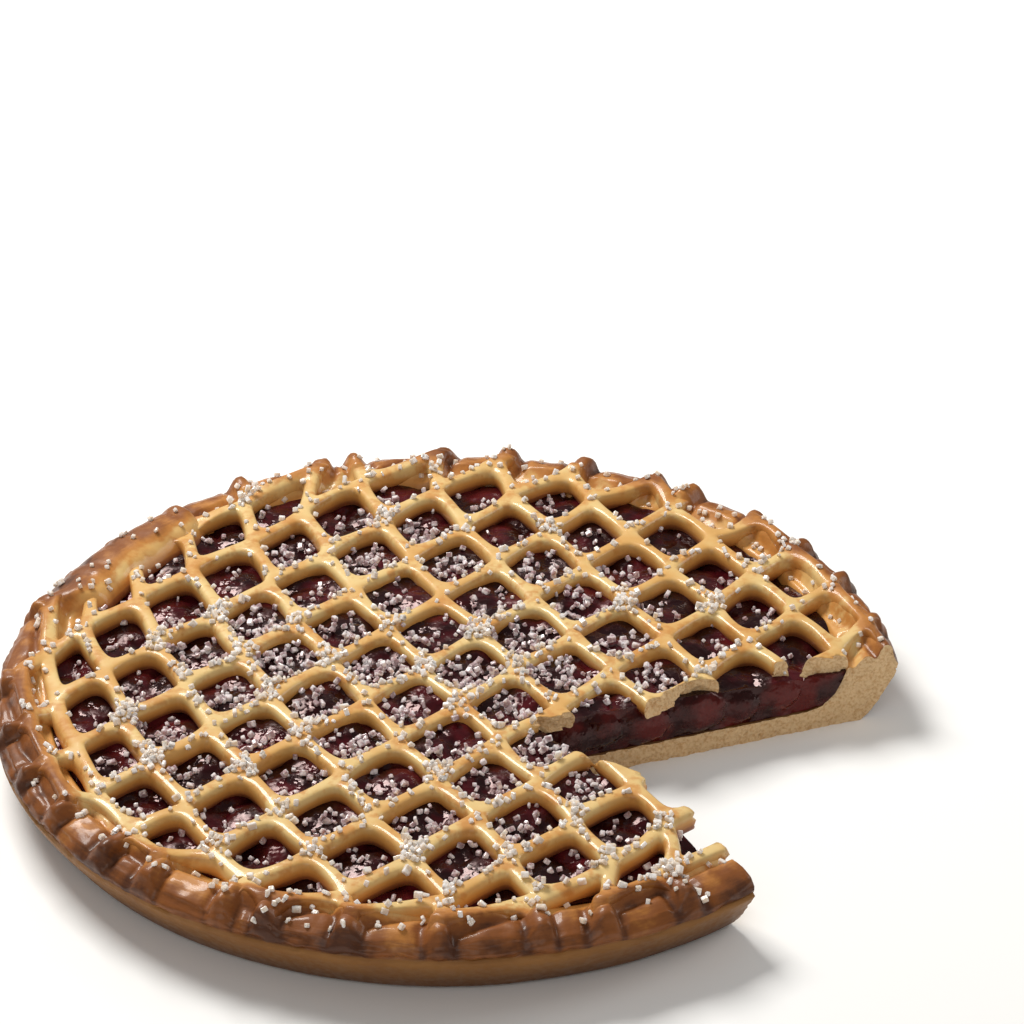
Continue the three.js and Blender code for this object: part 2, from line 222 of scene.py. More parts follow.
def softbox(name, place, size, power, colour):
    light = bpy.data.lights.new(name, "AREA")
    light.shape = "RECTANGLE"
    light.size, light.size_y = size
    light.energy = power
    light.color = colour
    holder = bpy.data.objects.new(name, light)
    bpy.context.scene.collection.objects.link(holder)
    holder.location = place
    holder.rotation_mode = "QUATERNION"
    holder.rotation_quaternion = (-Vector(place)).to_track_quat("-Z", "Y")


softbox("back_light", (-0.50, 0.70, 1.05), (0.6, 0.5), 20, (1.0, 0.98, 0.94))
softbox("side_light", (0.95, 0.25, 0.55), (0.4, 0.6), 2.5, (1.0, 0.98, 0.95))
softbox("front_light", (-0.35, -1.2, 1.0), (1.2, 0.8), 4.5, (1.0, 0.97, 0.93))

world = bpy.data.worlds.new("studio")
bpy.context.scene.world = world
world.use_nodes = True
world.node_tree.nodes["Background"].inputs["Color"].default_value = WORLD_COLOUR
world.node_tree.nodes["Background"].inputs["Strength"].default_value = WORLD_STRENGTH
bpy.context.scene.view_settings.view_transform = "Standard"

# %% [markdown]
# ## Shader maths
# A material is a small calculation for every point of a surface. Written node by node it is hard to
# read, so a tiny class wraps a socket: an expression such as `0.3 + 0.7 * noise` then adds the Math
# nodes by itself, and one method makes every other kind of node.

# %% A wrapper for shader sockets
class Sum:
    """A shader value that can be used in Python expressions."""

    def __init__(self, tree, socket):
        self.tree, self.socket = tree, socket

    def _math(self, operation, first, second):
        node = self.tree.nodes.new("ShaderNodeMath")
        node.operation = operation
        for socket, value in zip(node.inputs, (first, second)):
            put(self.tree, socket, value)
        return Sum(self.tree, node.outputs[0])

    def __add__(self, other):
        return self._math("ADD", self, other)

    def __radd__(self, other):
        return self._math("ADD", other, self)

    def __sub__(self, other):
        return self._math("SUBTRACT", self, other)

    def __rsub__(self, other):
        return self._math("SUBTRACT", other, self)

    def __mul__(self, other):
        return self._math("MULTIPLY", self, other)

    def __rmul__(self, other):
        return self._math("MULTIPLY", other, self)


def put(tree, socket, value):
    """Gives a socket a link, a number, a vector or a colour."""
    if isinstance(value, Sum):
        tree.links.new(value.socket, socket)
    elif isinstance(value, tuple) and len(value) == 3 and socket.type == "RGBA":
        socket.default_value = (*value, 1)
    else:
        socket.default_value = value


print("sums, differences and products of sockets can now be written out")

# %% [markdown]
# One more class stands for a whole finish: a material with a Principled shader, on which every pattern
# reads Object coordinates, so that it stays where it is when the piece moves. Two patterns do most of
# the work on dough: cloudy noise, and noise drawn out round the rim, as dough that was stretched.

# %% A finish and its nodes
class Finish:
    """A material with one Principled shader, and the nodes that feed it."""

    def __init__(self, name, **constants):
        self.material = bpy.data.materials.new(name)
        self.material.use_nodes = True
        self.tree = self.material.node_tree
        self.shader = self.tree.nodes["Principled BSDF"]
        for socket, value in constants.items():
            put(self.tree, self.shader.inputs[socket.replace("_", " ")], value)
        coordinates = self.tree.nodes.new("ShaderNodeTexCoord")
        self.place = Sum(self.tree, coordinates.outputs["Object"])

    def node(self, kind, output=0, settings=None, **values):
        """Any node: settings first, then sockets, named with _ for a space or numbered as _2."""
        made = self.tree.nodes.new(kind)
        for name, value in (settings or {}).items():
            setattr(made, name, value)
        for name, value in values.items():
            key = int(name[1:]) if name[1:].isdigit() else name.replace("_", " ")
            put(self.tree, made.inputs[key], value)
        return Sum(self.tree, made.outputs[output])

    def noise(self, scale, detail):
        return self.node("ShaderNodeTexNoise", "Fac", Vector=self.place, Scale=scale, Detail=detail)

    def streaks(self, length, width):
        """Noise drawn out round the rim, its streaks of a length and a width in millimetres."""
        place = self.node("ShaderNodeCombineXYZ", 0, X=self.attribute("round") * (1 / length),
                          Y=self.attribute("across") * (1 / width))
        return self.node("ShaderNodeTexNoise", "Fac", Vector=place, Scale=1.0, Detail=3.0, Roughness=0.6)

    def spots(self, scale):
        """Distance to the nearest of many scattered points."""
        return self.node("ShaderNodeTexVoronoi", "Distance", Vector=self.place, Scale=scale)

    def attribute(self, name):
        return self.node("ShaderNodeAttribute", "Fac", {"attribute_name": name})

    def steps(self, value, low, high, start=0.0, end=1.0):
        """A soft step: start below low, end above high."""
        return self.node("ShaderNodeMapRange", 0, {"interpolation_type": "SMOOTHSTEP"},
                         Value=value, From_Min=low, From_Max=high, To_Min=start, To_Max=end)

    def mix(self, share, first, second):
        """A colour between two colours."""
        return self.node("ShaderNodeMix", 2, {"data_type": "RGBA"}, _0=share, _6=first, _7=second)

    def feed(self, **values):
        for name, value in values.items():
            put(self.tree, self.shader.inputs[name.replace("_", " ")], value)

    def bump(self, height, strength, depth):
        """Relief too fine for the mesh; depth in millimetres."""
        normal = self.node("ShaderNodeBump", 0, Height=height, Strength=strength, Distance=depth * MM)
        put(self.tree, self.shader.inputs["Normal"], normal)


def dress(piece, finish):
    piece.data.materials.clear()
    piece.data.materials.append(finish.material)
    print(f"{piece.name} wears {finish.material.name}, made with {len(finish.tree.nodes)} nodes")


def give_attribute(piece, name, values):
    layer = piece.data.attributes.new(name, "FLOAT", "POINT")
    layer.data.foreach_set("value", np.asarray(values, np.float32))


print("a finish can now be written as sums and mixes of noise and attributes")

# %% [markdown]
# ## The net's grid
# The sheet of dough was rolled with a slitting roller and pulled open. Its holes lie on a skewed grid,
# and because it was pulled unevenly and drags on the rim, the steps of that grid change from place to
# place. Four strands meet at each knuckle; a knuckle is really a short bar with two strands at either
# end, so every hole has six corners. Along the front cut the last strands were pulled inwards when the
# wedge was lifted out.

# %% Holes, bars and junctions
NET_ORIGIN = np.array([-11.8, -21.6])  # the middle of hole (0, 0)
NET_STEP_I = np.array([18.5, 19.4])  # from a hole to the next one, up to the right
NET_STEP_J = np.array([11.4, -21.9])  # and down to the right
NET_PULL_II = np.array([0.04, 0.20])
NET_PULL_IJ = np.array([0.11, -0.07])
NET_PULL_JJ = np.array([0.06, 0.38])
NET_DRAG_I = np.array([-0.048, -0.017])
NET_DRAG_IJ = np.array([0.0, -0.054])
NET_DRAG_J = np.array([-0.053, -0.047])
HOLES_EACH_WAY = 8
BAR_LENGTH = 0.28  # of the distance between the middles of two triangles of holes
NET_TUCK = 6.0
TUCK_ALONG = (78, 90)  # measured along the front cut, and at right angles to it
TUCK_BESIDE = (-20, -9)


def hole_centre(i, j):
    steps = NET_STEP_I * i + NET_STEP_J * j
    pull = NET_PULL_II * i * i + NET_PULL_IJ * i * j + NET_PULL_JJ * j * j
    return NET_ORIGIN + steps + pull + NET_DRAG_I * i ** 3 + NET_DRAG_IJ * i * i * j + NET_DRAG_J * j ** 3


def tucked(place):
    """A junction, pulled inwards where it lies next to the front cut."""
    dx, dy = place - CUT_POINT
    c, s = math.cos(CUT_FRONT), math.sin(CUT_FRONT)
    share = smoothstep(dx * c + dy * s, *TUCK_ALONG) * smoothstep(dy * c - dx * s, *TUCK_BESIDE)
    return place + np.array([s, -c]) * NET_TUCK * share


def bar(i, j):
    """The two ends of the short bar between hole (i, j) and hole (i + 1, j + 1)."""
    here, across = hole_centre(i, j), hole_centre(i + 1, j + 1)
    upper = (here + across + hole_centre(i + 1, j)) / 3
    lower = (here + across + hole_centre(i, j + 1)) / 3
    middle = (upper + lower) / 2
    return tucked(middle + (upper - middle) * BAR_LENGTH), tucked(middle + (lower - middle) * BAR_LENGTH)


def junctions(i, j):
    """The six junctions round a hole, anticlockwise from the right."""
    right, left = bar(i, j), bar(i - 1, j - 1)
    return [right[1], right[0], bar(i, j - 1)[1], left[0], left[1], bar(i - 1, j)[0]]


def cells(reach):
    """The holes whose centre lies within a radius."""
    steps = range(-HOLES_EACH_WAY, HOLES_EACH_WAY + 1)
    return [(i, j) for i in steps for j in steps if np.hypot(*hole_centre(i, j)) < reach]


print(len(cells(LIP_RADIUS)), "holes, rim included")

# %% [markdown]
# On the rim the net is squeezed: its outer holes are narrow, it was dragged a little way round, and
# from its last knuckles single strands run straight over the ridge and down to the lip. So the grid is
# drawn flat first, clipped by a circle, and then pushed together.

# %% The net on the rim
NET_FLAT = 122.0  # the net is as drawn within this radius
NET_CLIP = 148.0  # the flat net is clipped here
NET_END = 152.0  # and its clipped strands end here, past the lip
NET_SWIRL = 0.08
NET_SQUEEZE = 0.65
NET_SQUEEZE_CHANGE = 0.10  # less squeezed at the upper right, more at the lower left
LIP_SLANT = 0.2


def polar(r, angle):
    return np.array([r * math.cos(angle), r * math.sin(angle)])


def squeezed(place):
    """Where a point of the flat net comes to lie on the flan."""
    r, angle = math.hypot(*place), math.atan2(place[1], place[0])
    if r < NET_FLAT:
        return place
    share = NET_SQUEEZE + NET_SQUEEZE_CHANGE * (place[0] + place[1]) / r
    drag = NET_SWIRL * smoothstep(r, NET_FLAT, LIP_RADIUS) * abs(place[1]) / r
    return polar(NET_FLAT + (r - NET_FLAT) * share, angle - drag)


def at_lip(inner, outer):
    """Where a strand that leaves the flat net at its clipping circle passes the lip."""
    near, far = math.hypot(*inner), math.hypot(*outer)
    crossing = inner + (outer - inner) * (NET_CLIP - near) / (far - near)
    slant = math.asin((inner[0] * crossing[1] - inner[1] * crossing[0]) / (near * NET_CLIP))
    x, y = squeezed(inner)
    return polar(NET_END, math.atan2(y, x) + slant * LIP_SLANT)


def cell_outline(i, j):
    """The corners of a hole as it lies on the flan, anticlockwise."""
    corners = junctions(i, j)
    inside = [math.hypot(*p) <= NET_CLIP for p in corners]
    outline = []
    for k, p in enumerate(corners):
        q, next_inside = corners[(k + 1) % 6], inside[(k + 1) % 6]
        if inside[k]:
            outline.append(squeezed(p))
        if inside[k] != next_inside:
            outline.append(at_lip(p, q) if inside[k] else at_lip(q, p))
    return np.array(outline)


print("a hole beside the middle has", len(cell_outline(0, 0)), "corners")

# %% [markdown]
# The net lies on the filling, climbs the inner slope of the rim and runs down its outer side to the
# lip. Two curves over the radius say how high that support is and how thick the strands are there:
# thick bars over the filling, thin ribs on the rim. At the back left the rim was folded over the net.

# %% What the net lies on
RIM_RADII = [FILLING_RADIUS, 129.8, 132.7, 137.3, 141.8, 145, 300]
RIM_HEIGHTS = [20.9, 22.8, 25, 24.5, 22.6, 19.5, 19.5]
STRAND_TOP = 25.8
RIB_THICKNESS = 2.6
BARS_BECOME_RIBS = (118, 133)
NET_ABOVE_FILLING = 0.3
FOLD_FROM = math.radians(129)
FOLD_TO = math.radians(163)


def filling_level(r):
    return FILLING_HEIGHT + FILLING_SWELL * (1 - (r / FILLING_RADIUS) ** 2)


def folded_over(x, y):
    """1 where the rim was folded far inwards, over the ends of the net: a stretch at the back left."""
    angle = np.arctan2(y, x)
    return smoothstep(angle, FOLD_FROM, FOLD_FROM + 0.12) * (1 - smoothstep(angle, FOLD_TO - 0.10, FOLD_TO))


def support_height(r):
    """The height of filling and rim, its corners rounded by averaging over 3 mm."""

    def level(at):
        on_rim = np.interp(at, RIM_RADII, RIM_HEIGHTS)
        return np.where(at < FILLING_RADIUS, filling_level(at) + NET_ABOVE_FILLING, on_rim)

    return sum(level(r + shift) for shift in (-1.5, -0.5, 0.5, 1.5)) / 4


def strand_top(r):
    on_rim = smoothstep(r, *BARS_BECOME_RIBS)
    return STRAND_TOP * (1 - on_rim) + (support_height(r) + RIB_THICKNESS) * on_rim


print("support at the ridge:", round(float(support_height(CREST_RADIUS)), 2), "mm")

# %% [markdown]
# ## The honeycomb sheet
# Each hole starts as a circle. Its corners are moved to the junctions round the hole and to the middles
# of the strands between them. Joined and merged, the circles are one sheet, and its edges are the
# middle lines of the strands. They are nudged about by a millimetre, because no two strands are alike.
# Single tubes along the strands would be another way, but they would need a joint at every knuckle.

# %% Draw the honeycomb
NET_CELLS_REACH = 165
REACH_INTO_CUT = 9
WANDER = 1.5
WANDER_CELL = 7.0


def honeycomb():
    start_fresh()
    made = []
    for corners in outlines:
        middles = (corners + np.roll(corners, -1, axis=0)) / 2
        ring = np.column_stack([corners, middles]).reshape(-1, 2)
        bpy.ops.object.select_all(action="DESELECT")
        bpy.ops.mesh.primitive_circle_add(vertices=len(ring), radius=10 * MM, fill_type="NGON")
        made.append(bpy.context.object)
        move_points(made[-1], np.column_stack([ring, np.zeros(len(ring))]))
    select_only(*made)
    bpy.ops.object.join()
    sheet = bpy.context.object
    sheet.name = sheet.data.name = "net"
    edit(sheet)
    bpy.ops.mesh.remove_doubles(threshold=0.05 * MM)
    finish_edit()
    points = points_of(sheet)
    x, y = points[:, 0], points[:, 1]
    points[:, 0] += WANDER * soft_noise(x, y, WANDER_CELL, 41)
    points[:, 1] += WANDER * soft_noise(x, y, WANDER_CELL, 42)
    move_points(sheet, points)
    return sheet


outlines = [cell_outline(i, j) for i, j in cells(NET_CELLS_REACH)]
outlines = [corners for corners in outlines if len(corners) > 2]
outlines = [corners for corners in outlines if inside_wedge(*corners.T).min() < REACH_INTO_CUT]
net = honeycomb()
print(len(net.data.polygons), "cells,", len(net.data.edges), "edges; sides per cell:",
      sorted({len(face.vertices) for face in net.data.polygons}))

# %% [markdown]
# Where the strands run matters to everything else: dough swells up beside them on the rim, sugar lies
# on them, and colour follows them. A map with a point every half millimetre holds the distance to the
# nearest strand's middle line.

# %% Map of the distance to the nearest strand
MAP_STEP = 0.5
MAP_HALF = 165.0
FAR_FROM_STRANDS = 40.0
EDGE_WINDOW = 16.0  # an edge is entered this far round its middle


def map_strands(sheet):
    count = int(2 * MAP_HALF / MAP_STEP) + 1
    axis = np.linspace(-MAP_HALF, MAP_HALF, count)
    nearest = np.full((count, count), FAR_FROM_STRANDS)
    points = points_of(sheet)[:, :2]
    window = int(EDGE_WINDOW / MAP_STEP)
    for edge in sheet.data.edges:
        p, q = points[edge.vertices[0]], points[edge.vertices[1]]
        if min(math.hypot(*p), math.hypot(*q)) > NET_END - 4:
            continue
        i, j = ((p + q) / 2 / MAP_STEP + MAP_HALF / MAP_STEP).astype(int)
        rows = slice(max(i - window, 0), i + window)
        columns = slice(max(j - window, 0), j + window)
        x, y = np.meshgrid(axis[rows], axis[columns], indexing="ij")
        along = q - p
        share = ((x - p[0]) * along[0] + (y - p[1]) * along[1]) / (along @ along)
        share = np.clip(share, 0, 1)
        away = np.hypot(x - p[0] - share * along[0], y - p[1] - share * along[1])
        nearest[rows, columns] = np.minimum(nearest[rows, columns], away)
    return nearest


strand_map = map_strands(net)


def strand_distance(x, y):
    """Millimetres to the nearest strand's middle line, read from the map."""
    u = np.clip((np.asarray(x) + MAP_HALF) / MAP_STEP, 0, strand_map.shape[0] - 2)
    v = np.clip((np.asarray(y) + MAP_HALF) / MAP_STEP, 0, strand_map.shape[1] - 2)
    i, j = u.astype(int), v.astype(int)
    s, t = u - i, v - j
    low = strand_map[i, j] * (1 - s) + strand_map[i + 1, j] * s
    high = strand_map[i, j + 1] * (1 - s) + strand_map[i + 1, j + 1] * s
    return low * (1 - t) + high * t


print("middle of a hole is", round(float(strand_distance(*hole_centre(0, 0))), 1), "mm from a strand")

# %% [markdown]
# ## From the sheet to strands
# Every cell is inset by itself, by half the width of a strand, and the inner faces go: what is left is
# a flat web. The slivers between two strands that lie side by side on the rim stay closed. Extruded
# upwards the web has a top, sides and an underside. Only the top gets a further line of points on the
# shoulder of the strand, so that the subdivision modifier leaves it full.

# %% Cut the holes and give the web its height
STRAND_HALF = 2.6
SHOULDER = 1.75
SLIVER = 90.0  # square millimetres


def select_edges(piece, chosen):
    """Selects exactly the edges for which chosen(p, q) is true, from edit mode and back to it."""
    bpy.ops.mesh.select_all(action="DESELECT")
    bpy.ops.mesh.select_mode(type="EDGE")
    bpy.ops.object.mode_set(mode="OBJECT")
    points = points_of(piece)
    for edge in piece.data.edges:
        edge.select = bool(chosen(points[edge.vertices[0]], points[edge.vertices[1]]))
    bpy.ops.object.mode_set(mode="EDIT")


def across_the_top(p, q):
    """An edge on the web's top that runs from a strand's middle to its side."""
    away = sorted([strand_distance(*p[:2]), strand_distance(*q[:2])])
    return min(p[2], q[2]) > 0.5 and away[0] < 1 and away[1] > STRAND_HALF - 1


def cut_holes(sheet):
    edit(sheet)
    bpy.ops.mesh.select_mode(type="FACE")
    bpy.ops.object.mode_set(mode="OBJECT")
    for cell in sheet.data.polygons:
        cell.select = cell.area > SLIVER * MM * MM
    bpy.ops.object.mode_set(mode="EDIT")
    bpy.ops.mesh.inset(thickness=STRAND_HALF * MM, use_individual=True, use_even_offset=True)
    bpy.ops.mesh.delete(type="FACE")
    bpy.ops.mesh.select_all(action="SELECT")
    bpy.ops.mesh.extrude_region_move(TRANSFORM_OT_translate={"value": (0, 0, MM)})
    select_edges(sheet, across_the_top)
    bpy.ops.mesh.subdivide(number_cuts=1)
    bpy.ops.mesh.select_mode(type="VERT")
    finish_edit()


cut_holes(net)
print(len(net.data.polygons), "faces in the cage")

# %% [markdown]
# The holes keep a rather sharp corner at the front and the back, where the slit was, and are round at
# the sides. A crease on an upright edge tells the subdivision modifier to round it less. An edge is
# creased if it lies in front of or behind the middle of its hole.

# %% Keep the ends of the slits tight
SLIT_CREASE = 0.15
SLIT_NARROWNESS = 1.3


def crease(sheet):
    points = points_of(sheet)
    side = strand_distance(points[:, 0], points[:, 1]) > STRAND_HALF - 0.6
    top = points[:, 2] > 0.5
    middles = KDTree(len(outlines))
    for number, corners in enumerate(outlines):
        middles.insert((*corners.mean(axis=0), 0), number)
    middles.balance()
    layer = sheet.data.attributes.new("crease_edge", "FLOAT", "EDGE")
    for edge in sheet.data.edges:
        a, b = edge.vertices
        if top[a] != top[b]:
            x, y = points[a, :2] - middles.find((points[a, 0], points[a, 1], 0))[0].xy
            if abs(y) > SLIT_NARROWNESS * abs(x) and side[a]:
                layer.data[edge.index].value = SLIT_CREASE


crease(net)
creases = net.data.attributes["crease_edge"].data
print(sum(edge.value > 0 for edge in creases), "edges are creased")

# %% [markdown]
# ## Drape the net
# The cage is flat so far. One rule gives every point its place: the foot lies on the support, the top
# stands a strand's thickness above it, low at the edges so that the strand is a soft pillow. Strands are
# widest where they meet. Width and thickness wander with the soft noise. A cloth simulation could lay
# the net down too, but a rule is quicker and can be corrected at one place.

# %% Rules for width and thickness
NET_REACH = 141.5  # the net ends here, on the outer side of the rim
KNUCKLE_REACH = 5.0
FOOT_SUNK = 2.6  # so deep lies the foot of a strand in the filling
FOOT_RAISED_ON_RIM = 0.6


def near_knuckle(x, y):
    """1 at a junction of strands, 0 a centimetre away."""
    knuckles = np.vstack(outlines)
    away = np.array([np.hypot(knuckles[:, 0] - u, knuckles[:, 1] - v).min() for u, v in zip(x, y)])
    return np.exp(-(away / KNUCKLE_REACH) ** 2)


def widening(x, y, away):
    """How far a point moves away from the middle line of its strand."""
    width = 0.93 + 0.16 * soft_noise(x, y, 13.0, 43) + 0.32 * near_knuckle(x, y)
    spread = np.interp(away, [0, STRAND_HALF / 2, STRAND_HALF], [0, SHOULDER, STRAND_HALF])
    spread = np.where(away < STRAND_HALF, spread, away)
    return spread * width - away


def foot_and_top(x, y, away):
    """The heights between which a strand stands: thinner at its edges, at the lip and in the fold."""
    r = np.hypot(x, y)
    across = np.clip(away / STRAND_HALF, 0, 1)
    crown = 1 - 0.10 * across ** 2 - 0.14 * across ** 4
    sunk = FOOT_SUNK - FOOT_RAISED_ON_RIM * smoothstep(r, 124, 134)
    thick = strand_top(r) + 0.3 - support_height(r) + 0.45 * soft_noise(x, y, 11.0, 44)
    thick *= 1 - 1.4 * smoothstep(r, 137.0, NET_REACH)
    thick *= 1 - 0.8 * folded_over(x, y) * smoothstep(r, 122, 127)
    foot = support_height(r) - sunk
    return foot, foot + (thick + sunk) * crown


print("a strand near the middle stands from", *np.round(foot_and_top(0.0, 0.0, 0.0), 1), "mm")

# %% [markdown]
# The direction away from a strand is the slope of the distance map. After the move the subdivision
# modifier rounds the net, two levels of it, and a tall cylinder takes away what would hang over the lip.

# %% Drape and round off
GENTLEST_SLOPE = 0.3


def drape(cage):
    points = points_of(cage)
    x, y, level = points.T
    away = strand_distance(x, y)
    slope_x = strand_distance(x + MAP_STEP, y) - strand_distance(x - MAP_STEP, y)
    slope_y = strand_distance(x, y + MAP_STEP) - strand_distance(x, y - MAP_STEP)
    length = np.maximum(np.hypot(slope_x, slope_y), GENTLEST_SLOPE)
    shift = widening(x, y, away)
    foot, top = foot_and_top(x, y, away)
    points[:, 0] += shift * slope_x / length
    points[:, 1] += shift * slope_y / length
    points[:, 2] = foot + (top - foot) * level
    move_points(cage, points)


def trim_round(piece, radius):
    start_fresh()
    bpy.ops.mesh.primitive_cylinder_add(vertices=160, radius=radius * MM, depth=0.1)
    trim = bpy.context.object
    apply_modifier(piece, "BOOLEAN", operation="INTERSECT", solver="MANIFOLD", object=trim)
    bpy.data.objects.remove(trim)


drape(net)
apply_modifier(net, "SUBSURF", levels=2, render_levels=2)
trim_round(net, NET_REACH)
report(net)

# %% [markdown]
# ## The missing wedge
# Shell, filling and net each ended differently when the wedge was taken out: the dough broke with a
# rough crumb, the cherries stayed whole and stand out of the filling, and the net was torn strand by
# strand. All three are cut by the same kind of tool, a tall prism whose walls are divided finely and
# pushed about by noise. A plain box would cut as well, but it leaves the flat face of a saw.

# %% A cutter with rough walls
CUTTER_FOOT = -6.0
CUTTER_HEIGHT = 40.0
CUTTER_FAR_CORNERS = np.array([[190, 40], [190, -200], [120, -200]])
STRAIGHT_CUT = [(0, 0), (160, 0)]


def cut_line(direction, steps, side):
    """A wall seen from above: distances along it, each with its offset into the wedge."""
    along = np.array([math.cos(direction), math.sin(direction)])
    inwards = side * np.array([-along[1], along[0]])
    return [CUT_POINT + along * s + inwards * offset for s, offset in steps]


def divide_line(corners, step):
    """More points along a line with corners, about one step apart."""
    corners = np.array(corners)
    lengths = np.hypot(*np.diff(corners, axis=0).T)
    reached = np.concatenate([[0], np.cumsum(lengths)])
    places = np.linspace(0, reached[-1], int(reached[-1] / step))
    return np.column_stack([np.interp(places, reached, corners[:, k]) for k in (0, 1)])


def prism(ring, step):
    """A ring of points filled and drawn upwards, with a row of points at every step."""
    start_fresh()
    bpy.ops.mesh.primitive_circle_add(vertices=len(ring), radius=100 * MM, fill_type="NGON")
    body = bpy.context.object
    move_points(body, np.column_stack([ring, np.full(len(ring), CUTTER_FOOT)]))
    edit(body)
    for _ in range(int(CUTTER_HEIGHT / step)):
        bpy.ops.mesh.extrude_region_move(TRANSFORM_OT_translate={"value": (0, 0, step * MM)})
    finish_edit(smooth=False)
    return body


def wedge_cutter(rear_steps, front_steps, step, push):
    """The tool; push(x, y, z) says how far its walls are moved out of the wedge."""
    rear = divide_line(cut_line(CUT_REAR, rear_steps, -1), step)
    front = divide_line(cut_line(CUT_FRONT, front_steps, 1), step)
    cutter = prism(np.vstack([rear, CUTTER_FAR_CORNERS, front[::-1][:-1]]), step)
    points = points_of(cutter)
    x, y, z = points.T
    away = push(x, y, z)
    away /= math.sin((CUT_REAR - CUT_FRONT) / 2)
    points[:, 0] -= away * math.cos(CUT_MIDDLE)
    points[:, 1] -= away * math.sin(CUT_MIDDLE)
    move_points(cutter, points)
    return cutter


straight_wall = divide_line(cut_line(CUT_REAR, STRAIGHT_CUT, -1), 1.0)
print("a straight wall of the cutter has", len(straight_wall), "points in a row")

# %% [markdown]
# The boolean modifier carries face attributes over, so the faces of the cutter are marked before the
# cut: what it leaves on a piece is then known as torn, and gets the look of crumb or of cut fruit. The
# net goes first. Its walls have steps, because strands break where they are thin.

# %% Tear the net
NET_REAR_STEPS = [(0, 0), (4, 1), (20, 1), (34, 4), (42, 1), (52, -3), (66, 1), (84, -3), (104, 0), (160, 0)]
NET_FRONT_STEPS = [(0, 0), (3, -4), (20, -4), (28, -1), (40, 5), (69, 5), (78, 1), (90, 0), (160, 0)]


def mark_faces(piece, name, value):
    layer = piece.data.attributes.new(name, "FLOAT", "FACE")
    layer.data.foreach_set("value", np.full(len(piece.data.polygons), value, np.float32))


def cut_out(piece, cutter):
    """Takes the wedge out; the faces left by the cutter are marked as torn."""
    mark_faces(piece, "torn", 0.0)
    mark_faces(cutter, "torn", 1.0)
    apply_modifier(piece, "BOOLEAN", operation="DIFFERENCE", solver="MANIFOLD", object=cutter)
    bpy.data.objects.remove(cutter)


def tear(x, y, z):
    """Torn dough: coarse steps and a fine crumb."""
    return 0.9 * soft_noise(x + z, y - z, 3.1, 51) + 0.45 * soft_noise(x - 2 * z, y + z, 1.4, 52)


cut_out(net, wedge_cutter(NET_REAR_STEPS, NET_FRONT_STEPS, 0.8, tear))
report(net)

# %% [markdown]
# ## The shell
# The shell is one piece of dough: a flat base, a wall that leans out, and a rim that was folded over
# and pressed down on the net. Half of its section is drawn as a row of points and spun about the axis
# of the flan. The rows lie close together on the rim, where the relief comes, and far apart elsewhere.
# A stack of scaled circles would give the same body; a section is easier to compare with the flan.

# %% Spin the shell
SHELL_STEPS = 860
SHELL_OUTLINE = [
    (0, 0), (132.2, 0), (134.4, 1.6), (138.8, 8), (142.4, 14), (143.4, 16.9), (144.7, 17.3), (145, 19.5),
    (141.8, 22.6), (137.3, 24.5), (132.7, 25), (129.8, 22.8), (126.6, 20.4), (122.7, 13), (118.9, 8.3),
    (114, 7), (0, 7),
]
FINE_STEP = 0.9
COARSE_STEP = 30.0


def divide_outline(outline, step_at):
    """More points along a section; step_at(p, q) is their spacing between two corners."""
    rows = [np.array(outline[0], float)]
    for p, q in zip(outline, outline[1:]):
        p, q = np.array(p, float), np.array(q, float)
        parts = max(1, round(float(np.hypot(*(q - p))) / step_at(p, q)))
        rows += [p + (q - p) * k / parts for k in range(1, parts + 1)]
    return np.array(rows)


def spin_outline(name, outline, step_at, turns):
    """A round body from half a section, drawn as a ring whose edge on the axis is taken away."""
    rows = divide_outline(outline, step_at)
    start_fresh()
    bpy.ops.mesh.primitive_circle_add(vertices=len(rows), radius=100 * MM, fill_type="NOTHING")
    body = bpy.context.object
    body.name = body.data.name = name
    move_points(body, np.column_stack([rows[:, 0], np.zeros(len(rows)), rows[:, 1]]))
    edit(body)
    select_edges(body, lambda p, q: abs(p[0]) + abs(q[0]) < 1e-3)
    bpy.ops.mesh.delete(type="EDGE")
    bpy.ops.mesh.select_mode(type="VERT")
    bpy.ops.mesh.select_all(action="SELECT")
    bpy.ops.mesh.spin(steps=turns, angle=math.tau, center=(0, 0, 0), axis=(0, 0, 1))
    bpy.ops.mesh.select_all(action="SELECT")
    bpy.ops.mesh.remove_doubles(threshold=0.01 * MM)
    finish_edit()
    return body


def shell_step(p, q):
    return COARSE_STEP if max(p[1], q[1]) < 1 or max(p[0], q[0]) < 124 else FINE_STEP


shell = spin_outline("shell", SHELL_OUTLINE, shell_step, SHELL_STEPS)
report(shell)

# %% [markdown]
# The relief of the rim. Every strand that crosses it is a rib with a furrow at either side, the dough
# bulges between them, and the ribs lean to one side or the other. At the back left the rim is a broad
# fold that lies further in. Sculpting by hand could go deeper; a rule keeps each rib under its strand.

# %% Ribs and furrows on the rim
RIB_WIDTH = 3.1
RIB_HEIGHT = 2.7
RIB_HIGHER_OUTSIDE = 1.4
FURROW_AWAY = 4.6  # from the middle line of the strand
FURROW_WIDTH = 1.4
FURROW_DEPTH = 1.3
RIM_SETTLED = 1.2  # room for the ribs under the height of the solid
FOLD_RISE = 3.4


def rib(x, y):
    """1 along the middle of a strand that crosses the rim, 0 between the strands."""
    width = RIB_WIDTH + 0.5 * soft_noise(x, y, 14.0, 66)
    return np.exp(-(strand_distance(x, y) / width) ** 3)


def furrow(x, y):
    """1 in the furrow at either side of such a strand."""
    return np.exp(-((strand_distance(x, y) - FURROW_AWAY) / FURROW_WIDTH) ** 2)


